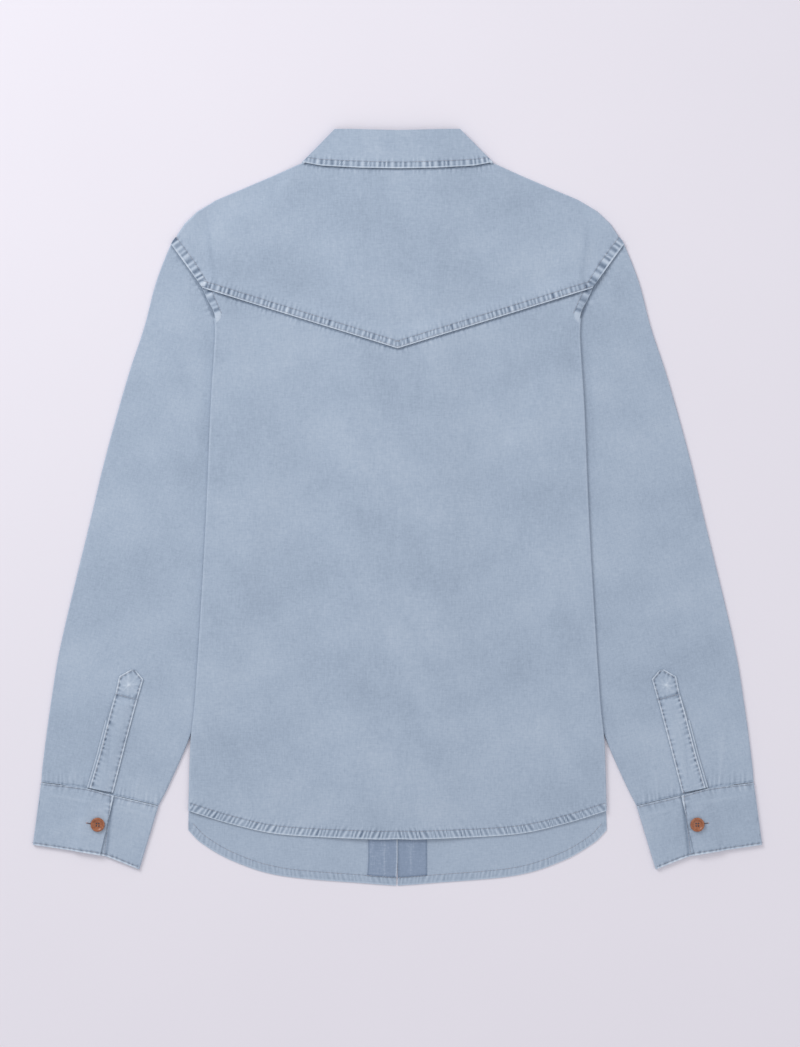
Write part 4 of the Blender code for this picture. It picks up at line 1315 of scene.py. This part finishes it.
@dataclass
class Front:
    """One front and the strip that backs its edge."""

    finishes: Finishes
    side: Side

    def edge_x(self, y: Array) -> Array:
        """The front's centre edge, as a signed x.

        Args:
            y: y of each place, mm.

        Returns:
            The x of the edge, mm.
        """
        s = self.side.value
        lap = OVERLAP_HALF * smooth(-284.0, -228.0, y)
        notch = 1.6 * (1 - smooth(-378.0, -350.0, y))
        return -s * lap + (0.25 if s > 0 else 0.15 - notch)

    def build(self) -> list[bpy.types.Object]:
        """Builds the front and its strip.

        Returns:
            What was built.
        """
        return [self.panel(), self.strip()]

    def marks(self) -> list[Seam | Crease]:
        """The front's worn hem and soft creases.

        Returns:
            The seams and creases.
        """
        s = self.side.value
        return [
            Seam(mirrored_route(FRONT_HEM, s), 8.0, 4.6, 0.34, 13.0, -0.35, 0.95, 17.0 + s),
            Crease((60.0 * s, -100.0), (90.0 * s, 120.0), 14.0, 0.3),
            Crease((120.0 * s, -220.0), (140.0 * s, -60.0), 12.0, 0.25),
        ]

    def panel(self) -> bpy.types.Object:
        """The front panel, as a patch between its four edges.

        Returns:
            The piece.
        """
        s = self.side.value
        v = np.concatenate([steps((0.0, 0.025, 0.0014)), steps((0.025, 1.0, 0.011))[1:]])
        u = np.linspace(0, 1, 170)
        table = np.array(YOKE_LINES[NECK_LINE : ARM_LINE + 1])
        turns = np.linspace(0, 1, len(table))
        shoulder = Route(
            np.stack([table[:, 1] + mix(-5.0, -15.6, turns), table[:, 2] + mix(-24.5, -21.2, turns) - 0.8], 1),
            straight=True
        )
        neck_end, arm_end = shoulder.points[0], shoulder.points[-1]
        armhole = ARMHOLE_ROUTE.points + np.array([-1.3, 0.7])
        armhole = Route(np.vstack([[arm_end], armhole[armhole[:, 1] < arm_end[1]]]), straight=True)
        start = float(self.edge_x(290.0)) * s
        neck_x = mix(start, neck_end[0], np.clip(u / 0.5, 0, 1))
        neck = np.stack([neck_x, NECK_FRONT_ROUTE.y(np.maximum(neck_x, 0.0))], 1)
        top = np.where((u <= 0.5)[:, None], neck, shoulder.at(np.clip((u - 0.5) / 0.5, 0, 1)))
        foot_x = mix(float(self.edge_x(-378.0)) * s, 209.0, u)
        foot = np.stack([foot_x, FRONT_HEM_ROUTE.y(np.maximum(foot_x, 0.0))], 1)
        low, high = FRONT_SIDE_ROUTE.at(np.clip(v / 0.62, 0, 1)), armhole.at(np.clip(1 - (v - 0.62) / 0.38, 0, 1))
        outside = np.where((v <= 0.62)[:, None], low, high)
        in_y = mix(-377.8, 290.0, v)
        inside = np.stack([self.edge_x(in_y) * s, in_y], 1)
        V, U = v[:, None, None], u[None, :, None]
        spot = mix(foot[None], top[None], V) + mix(inside[:, None], outside[:, None], U) - mix(
            mix(foot[0], foot[-1], U), mix(top[0], top[-1], U), V
        )
        x, y = spot[..., 0] * s, spot[..., 1]
        rise, wear = effects(x, y, self.marks())
        rise = np.where(y < -290.0, np.maximum(rise, 0.0), 0.0)
        level = front_level(self.side, x, y)
        below = np.stack([x, y, level + rise], -1)
        above = np.stack([x, y, level + rise + CLOTH], -1)
        name = f"front_shell_{self.side.word}"
        return shell(name, below, above, wear, self.finishes.denim, [f"front_{self.side.word}"])

    def strip(self) -> bpy.types.Object:
        """The darker strip behind the front edge.

        Returns:
            The piece.
        """
        s = self.side.value
        v, u = np.linspace(0, 1, 70)[:, None], np.linspace(0, 1, 32)[None, :]
        edge = self.edge_x(mix(FACING_FOOT_Y, FACING_TOP_Y, v))
        x = edge + s * (0.2 + u * FACING_WIDTH)
        y = mix(FRONT_HEM_ROUTE.y(np.abs(x)) + 8.0, FACING_TOP_Y, v)
        marks = [
            Crease((13.0 * s, -369.0), (13.5 * s, -334.0), 0.7, 0.2, 0.25),
            Crease((7.0 * s, -330.0), (6.0 * s, -352.0), 1.2, 0.12, -0.1),
            Crease((22.0 * s, -331.0), (21.0 * s, -346.0), 2.5, 0.1, -0.12),
        ]
        rise, wear = effects(x, y, marks, 0.1)
        bright = 0.9 * (1 - smooth(0.4, 1.2, u * FACING_WIDTH)) if s < 0 else -0.3 * (
            1 - smooth(0.4, 2.5, u * FACING_WIDTH)
        )
        wear = wear + bright - 0.4 * smooth(0.93, 0.99, u) - 0.5 * (
            1 - smooth(0.5, 1.8, v * (FACING_TOP_Y - FACING_FOOT_Y))
        )
        level = front_level(self.side, edge + 0 * x, y)
        points = stacked(x, y, level + (0.5 if s < 0 else 0.2), rise, True)
        return shell(
            f"facing_{self.side.word}", points[0], points[1], wear, self.finishes.inside,
            [f"front_facing_{self.side.word}"]
        )


@dataclass
class Collar:
    """The stand and the leaf folded over it."""

    finishes: Finishes

    def build(self) -> list[bpy.types.Object]:
        """Builds the stand and the leaf.

        Returns:
            What was built.
        """
        over, middle = (-12.0, 291.3, -12.0, 321.6), (0.0, 291.0, 0.0, 321.4)

        def stand_height(side: int, x: Array) -> Array:
            """Underside of the stand's lapped front ends.

            Args:
                side: which side.
                x: x of each place, mm.

            Returns:
                The height in millimetres.
            """
            if side > 0:
                return np.maximum(OVERLAP_RIGHT * (1 - smooth(9.0, 42.0, x)), PLY)
            return np.maximum(OVERLAP_LEFT * smooth(-48.0, -17.0, x), PLY)

        stand = self.band(
            "collar_stand_shell", "collar_stand", (over, middle, *STAND_FRONT), STAND_BACK, stand_height, 2 * PLY, [],
            "denim", 16
        )
        edge = [
            (-95.6, 345.2), (-76.0, 341.6), (-38.0, 339.2), (0.0, 338.6), (38.0, 339.2), (76.0, 341.6), (95.6, 345.2)
        ]
        marks = [
            Seam(Route(edge), 6.2, 5.3, 0.4, 12.0, 0.0, 0.95, 19.0),
            Crease((-40.0, 372.0), (30.0, 373.0), 5.0, 0.2, 0.03),
        ]
        leaf = self.band(
            "collar_leaf_shell", "collar_leaf", LEAF_FRONT, LEAF_BACK, lambda side, x: 0 * x, LEAF_LEVEL, marks,
            "denim_trim", 42
        )
        return [stand, leaf]

    def band(
        self, name: str, node: str, front: Sequence[Sequence[float]], back: Sequence[Sequence[float]],
        height: Callable[[int, Array], Array], level: float, marks: Sequence[Seam | Crease], slot: str, rows: int,
    ) -> bpy.types.Object:
        """A strip round the neck, front ends down and back up.

        Args:
            name: the piece's name.
            node: the solid it stands for.
            front: lines of a front end.
            back: lines of the back.
            height: underside of a front end from its side and x.
            level: underside of the back at its sides.
            marks: seams and creases of the back.
            slot: not used.
            rows: rows across the strip.

        Returns:
            The piece.
        """
        part = np.linspace(0, 1, rows)[:, None]

        def lines(table: Sequence[Sequence[float]], count: int) -> tuple[Array, Array]:
            """Denser lines between those of the table.

            Args:
                table: rows of edge x, edge y, roll x and roll y.
                count: how many lines.

            Returns:
                The x and y of each row and line, mm.
            """
            rows_ = np.array(table, float)
            at = np.linspace(0, len(rows_) - 1, count)[None, :]
            ex, ey, rx, ry = (np.interp(at, np.arange(len(rows_)), rows_[:, k]) for k in range(4))
            return mix(ex, rx, part), mix(ey, ry, part)

        halves = []
        for s in (1, -1):
            fx, fy = lines(front, 40)
            fx, fy = fx[:, :-1] * s, fy[:, :-1]
            ends = stacked(fx, fy, height(s, fx), 0 * fx, False)
            fold = front[-1]
            edge = np.concatenate([mix(fold[0], fold[2], part) * s, mix(fold[1], fold[3], part)], 1)
            out = np.tile([(fold[3] - fold[1]) * s, fold[0] - fold[2]], (rows, 1))
            zero = np.zeros(rows)
            arc = fold_arc(edge, out, zero + height(s, edge[:, 0]), zero + level)
            bx, by = lines(back, 80)
            bx, by = bx[:, 1:] * s, by[:, 1:]
            rise, wear = effects(bx, by, marks, 0.12)
            top = stacked(bx, by, level + crown(bx), rise, True)
            wear_all = np.concatenate([0 * fx, 0 * arc[0][:, ::-1, 0] + 0.1, wear], 1)
            outs = np.concatenate([ends[0], arc[0][:, ::-1], top[0]], 1)
            ins = np.concatenate([ends[1], arc[1][:, ::-1], top[1]], 1)
            halves.append((outs, ins, wear_all))
        (ro, ri, rw), (lo, li, lw) = halves
        outer = np.concatenate([lo[:, :-1], ro[:, ::-1]], 1)
        inner = np.concatenate([li[:, :-1], ri[:, ::-1]], 1)
        wear = np.concatenate([lw[:, :-1], rw[:, ::-1]], 1)
        return shell(name, outer, inner, wear, self.finishes.denim, [node])


@dataclass
class Buttons:
    """The cuff buttons, and the finish of those on the fronts."""

    finishes: Finishes
    hole: float = 0.85
    hole_circle: float = 1.75

    def build(self) -> list[bpy.types.Object]:
        """Builds the cuff buttons and dresses the front ones.

        Returns:
            What was built.
        """
        for index in range(1, 7):
            self.dress(f"front_button_{index}")
        self.dress("collar_button")
        return [self.cuff_button(side) for side in Side]

    def dress(self, node: str) -> None:
        """Gives a button of the frame its horn finish.

        Args:
            node: the button's name in the frame.
        """
        piece = bpy.data.objects[node]
        piece.data.materials.clear()
        piece.data.materials.append(self.finishes.horn)

    def cuff_button(self, side: Side) -> bpy.types.Object:
        """A turned button with four sewn holes.

        Args:
            side: which side.

        Returns:
            The piece.
        """
        low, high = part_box(f"cuff_button_{side.word}")
        centre = ((low[0] + high[0]) / 2, (low[1] + high[1]) / 2, low[2])
        profile = (
            (0.0, 0.0), (5.0, 0.0), (6.7, 0.7), (7.1, 1.4), (6.9, 2.0), (6.4, 2.35), (5.7, 2.4), (5.1, 2.1),
            (4.6, 1.55), (3.6, 1.3), (0.0, 1.25)
        )
        builder = bmesh.new()
        verts = [builder.verts.new((r * MM, 0.0, z * MM)) for r, z in profile]
        edges = [builder.edges.new(pair) for pair in zip(verts, verts[1:])]
        bmesh.ops.spin(
            builder, geom=[*verts, *edges], axis=(0, 0, 1), cent=(0, 0, 0), steps=56, angle=math.tau, use_merge=True
        )
        bmesh.ops.remove_doubles(builder, verts=builder.verts, dist=1e-6)
        bmesh.ops.recalc_face_normals(builder, faces=builder.faces)
        mesh = bpy.data.meshes.new(f"button_{side.word}")
        builder.to_mesh(mesh)
        builder.free()
        piece = bpy.data.objects.new(f"button_{side.word}", mesh)
        bpy.context.scene.collection.objects.link(piece)
        cutter_mesh = bpy.data.meshes.new("button_holes")
        cutter = bmesh.new()
        for quarter in range(4):
            angle = math.pi / 4 + quarter * math.pi / 2
            spot = Matrix.Translation(
                (self.hole_circle * MM * math.cos(angle), self.hole_circle * MM * math.sin(angle), 1.2 * MM)
            )
            bmesh.ops.create_cone(
                cutter, cap_ends=True, segments=16, radius1=self.hole * MM, radius2=self.hole * MM, depth=5 * MM,
                matrix=spot
            )
        cutter.to_mesh(cutter_mesh)
        cutter.free()
        holes = bpy.data.objects.new("button_holes", cutter_mesh)
        bpy.context.scene.collection.objects.link(holes)
        cut = piece.modifiers.new("holes", "BOOLEAN")
        cut.operation = "DIFFERENCE"
        cut.object = holes
        bpy.context.view_layer.update()
        finished = bpy.data.meshes.new_from_object(piece.evaluated_get(bpy.context.evaluated_depsgraph_get()))
        piece.modifiers.remove(cut)
        finished.transform(Matrix.Translation(Vector(centre)))
        piece.data = finished
        bpy.data.objects.remove(holes, do_unlink=True)
        piece.data.materials.clear()
        piece.data.materials.append(self.finishes.horn)
        piece.data.shade_smooth()
        piece.data.set_sharp_from_angle(angle=math.radians(40.0))
        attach(piece, "root")
        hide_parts(f"cuff_button_{side.word}")
        return piece


@dataclass
class Stitches:
    """Rows of thread laid along the seams by one node tree."""

    finishes: Finishes
    length: float = 2.3
    pitch: float = 3.0
    thread: float = 0.24

    def tree(self, material: bpy.types.Material) -> bpy.types.NodeTree:
        """Builds the node tree that sets one stitch at each step of its lines.

        Args:
            material: the thread's finish.

        Returns:
            The tree, with inputs for pitch, length and thread.
        """
        tree = bpy.data.node_groups.new(f"stitches_{material.name}", "GeometryNodeTree")
        face = tree.interface
        face.new_socket("Geometry", in_out="INPUT", socket_type="NodeSocketGeometry")
        for name, value in (("Pitch", self.pitch), ("Length", self.length), ("Thread", self.thread)):
            socket = face.new_socket(name, in_out="INPUT", socket_type="NodeSocketFloat")
            socket.default_value = value * MM
        face.new_socket("Geometry", in_out="OUTPUT", socket_type="NodeSocketGeometry")
        add = tree.nodes.new
        entry, leave = add("NodeGroupInput"), add("NodeGroupOutput")
        curve, points = add("GeometryNodeMeshToCurve"), add("GeometryNodeCurveToPoints")
        points.mode = "LENGTH"
        bar, put = add("GeometryNodeMeshCylinder"), add("GeometryNodeInstanceOnPoints")
        bar.inputs["Vertices"].default_value = 6
        real, dress = add("GeometryNodeRealizeInstances"), add("GeometryNodeSetMaterial")
        dress.inputs["Material"].default_value = material
        link = tree.links.new
        link(entry.outputs["Geometry"], curve.inputs["Mesh"])
        link(curve.outputs["Curve"], points.inputs["Curve"])
        link(entry.outputs["Pitch"], points.inputs["Length"])
        link(entry.outputs["Length"], bar.inputs["Depth"])
        link(entry.outputs["Thread"], bar.inputs["Radius"])
        link(points.outputs["Points"], put.inputs["Points"])
        link(points.outputs["Rotation"], put.inputs["Rotation"])
        link(bar.outputs["Mesh"], put.inputs["Instance"])
        link(put.outputs["Instances"], real.inputs["Geometry"])
        link(real.outputs["Geometry"], dress.inputs["Geometry"])
        link(dress.outputs["Geometry"], leave.inputs["Geometry"])
        return tree

    def rows(self, name: str, lines: Sequence[Array], material: bpy.types.Material) -> bpy.types.Object:
        """Sews stitches along lines of points.

        Args:
            name: the piece's name.
            lines: points of each line, in millimetres.
            material: the thread's finish.

        Returns:
            The piece.
        """
        points, edges = [], []
        for line in lines:
            first = len(points)
            points += (line * MM).tolist()
            edges += [(first + i, first + i + 1) for i in range(len(line) - 1)]
        mesh = bpy.data.meshes.new(name)
        mesh.from_pydata(points, edges, [])
        piece = bpy.data.objects.new(name, mesh)
        bpy.context.scene.collection.objects.link(piece)
        nodes = piece.modifiers.new("stitches", "NODES")
        nodes.node_group = self.tree(material)
        bpy.context.view_layer.update()
        sewn = bpy.data.meshes.new_from_object(piece.evaluated_get(bpy.context.evaluated_depsgraph_get()))
        piece.modifiers.remove(nodes)
        piece.data = sewn
        sewn.shade_smooth()
        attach(piece, "root")
        LOG.info("%s: %d faces", name, len(sewn.polygons))
        return piece

    def on(self, shells: Sequence[bpy.types.Object], route: Route, inset: float, side: int) -> Array:
        """A stitch line beside a route, lying on the shells.

        Args:
            shells: the pieces that it is sewn to.
            route: the seam's edge.
            inset: distance from the edge.
            side: which side of the route's direction.

        Returns:
            Points on the cloth.
        """
        count = max(int(route.length / self.pitch), 2)
        spots = route.at(np.linspace(0, 1, count))
        run = np.gradient(spots, axis=0)
        run /= np.hypot(*run.T)[:, None]
        spots = spots + side * inset * np.stack([-run[:, 1], run[:, 0]], 1)
        found = []
        for x, y in spots:
            best = -1.0
            for piece in shells:
                hit, place, _, _ = piece.ray_cast(Vector((x * MM, y * MM, RAY_HEIGHT)), Vector((0, 0, -1)))
                if hit:
                    best = max(best, place.z / MM)
            if best > 0:
                found.append((x, y, best + THREAD_RISE))
        return np.array(found) if len(found) > 1 else np.zeros((0, 3))


@dataclass
class Studio:
    """The pale floor, soft light and camera."""

    distance: float = 2.9083
    centre: tuple[float, float] = (2.5, -15.75)

    def build(self) -> None:
        """Sets floor, lights, world and camera."""
        floor_mesh = bpy.data.meshes.new("floor")
        size, low = 6.0, -0.0002
        floor_mesh.from_pydata(
            [(-size, -size, low), (size, -size, low), (size, size, low), (-size, size, low)], [], [(0, 1, 2, 3)]
        )
        floor = bpy.data.objects.new("floor", floor_mesh)
        floor_mesh.materials.append(Plain("paper", (0.805, 0.782, 0.845), (0.815, 0.792, 0.855), 0.95, 3.0).material())
        bpy.context.scene.collection.objects.link(floor)
        self.lamp("key", (-1.5, 1.5, 1.6), 1.1, 31.0)
        self.lamp("fill", (1.8, -0.6, 2.6), 2.5, 14.0)
        world = bpy.data.worlds.new("studio")
        world.use_nodes = True
        world.node_tree.nodes["Background"].inputs["Color"].default_value = (1.0, 0.985, 1.02, 1.0)
        world.node_tree.nodes["Background"].inputs["Strength"].default_value = 0.62
        bpy.context.scene.world = world
        data = bpy.data.cameras.new("camera")
        data.lens = 100.0
        camera = bpy.data.objects.new("camera", data)
        camera.location = (self.centre[0] * MM, self.centre[1] * MM, self.distance)
        bpy.context.scene.collection.objects.link(camera)
        bpy.context.scene.camera = camera
        bpy.context.scene.view_settings.view_transform = "Standard"

    def lamp(self, name: str, place: tuple[float, float, float], size: float, power: float) -> None:
        """A square lamp that looks at the shirt.

        Args:
            name: the lamp's name.
            place: where it hangs, m.
            size: length of its side, m.
            power: its power, W.
        """
        data = bpy.data.lights.new(name, "AREA")
        data.size = size
        data.energy = power
        lamp = bpy.data.objects.new(name, data)
        lamp.location = place
        lamp.rotation_euler = (-Vector(place)).to_track_quat("-Z", "Y").to_euler()
        bpy.context.scene.collection.objects.link(lamp)


@dataclass
class Shirt:
    """The whole shirt, in the order it is made."""

    finishes: Finishes = field(default_factory=Finishes)

    def build(self) -> None:
        """Builds every piece and its stitches."""
        made: dict[str, bpy.types.Object] = {}
        for side in Side:
            parts = [*Front(self.finishes, side).build(), *Sleeve(self.finishes, side).build()]
            made.update({piece.name: piece for piece in parts})
        back, yoke = BackPanel(self.finishes).build(), Yoke(self.finishes).build()
        stand, leaf = Collar(self.finishes).build()
        made.update({piece.name: piece for piece in (back, yoke, stand, leaf)})
        Buttons(self.finishes).build()
        bpy.context.view_layer.update()
        self.sew(made)

    def sew(self, made: dict[str, bpy.types.Object]) -> None:
        """Lays the stitch rows on the pieces.

        Args:
            made: the pieces by name.
        """
        stitches = Stitches(self.finishes)
        back, yoke, leaf = made["back"], made["yoke"], made["collar_leaf_shell"]
        body: list[Array] = []
        for s in (1, -1):
            edge = Route([(0.0, YOKE_POINT_Y), (194.5 * s, YOKE_POINT_Y + 194.5 * YOKE_RISE)])
            body += [stitches.on([yoke], edge, inset, s) for inset in (1.5, 7.0)]
            body.append(stitches.on([yoke, back], mirrored_route(ARM_EDGE, s), 8.4, -s))
            body.append(stitches.on([back], mirrored_route(BACK_HEM, s), 8.0, s))
        body.append(
            stitches.on(
                [leaf], Route([(-95.6, 345.2), (-76.0, 341.6), (0.0, 338.6), (76.0, 341.6), (95.6, 345.2)]), 6.2, 1
            )
        )
        stitches.rows("stitches_body", [line for line in body if len(line)], self.finishes.thread)
        trim: list[Array] = []
        for side in Side:
            s = side.value
            front, strip = made[f"front_shell_{side.word}"], made[f"facing_{side.word}"]
            cuff, placket = made[f"cuff_shell_{side.word}"], made[f"placket_{side.word}"]
            trim.append(stitches.on([front, strip], mirrored_route(FRONT_HEM, s), 8.0, s))
            trim.append(stitches.on([cuff], mirrored_route(CUFF_TOP, s), 1.6, s))
            trim.append(stitches.on([cuff], mirrored_route(CUFF_FOOT, s), 1.9, -s))
            trim.append(stitches.on([cuff], Route([(284.5 * s, -289.0), (291.0 * s, -346.0)]), 1.8, s))
            outer = Route([(x * s, y) for x, y in PLACKET_OUTER], straight=True)
            inner = Route([(x * s, y) for x, y in PLACKET_INNER], straight=True)
            trim += [stitches.on([placket], outer, 1.6, s), stitches.on([placket], inner, 1.6, -s)]
            trim.append(stitches.on([placket], Route([(281.2 * s, -186.2), (260.2 * s, -191.6)]), 0.0, 1))
        stitches.rows("stitches_trim", [line for line in trim if len(line)], self.finishes.thread)
        holes = []
        for side in Side:
            s = side.value
            spots = np.array([(305.6 * s, -315.4), (309.6 * s, -314.8)])
            holes.append(np.column_stack([spots, [2 * CUFF_PLY + CUFF_WALL + 0.1] * 2]))
        worked = Stitches(self.finishes, length=2.6, pitch=0.9, thread=0.4)
        worked.rows("buttonholes", holes, self.finishes.rust)


def main() -> None:
    """Builds the shirt and its studio."""
    logging.basicConfig(level=logging.INFO, format="%(name)s: %(message)s")
    Shirt().build()
    Studio().build()
    bpy.context.view_layer.update()


if __name__ == "__main__":
    main()
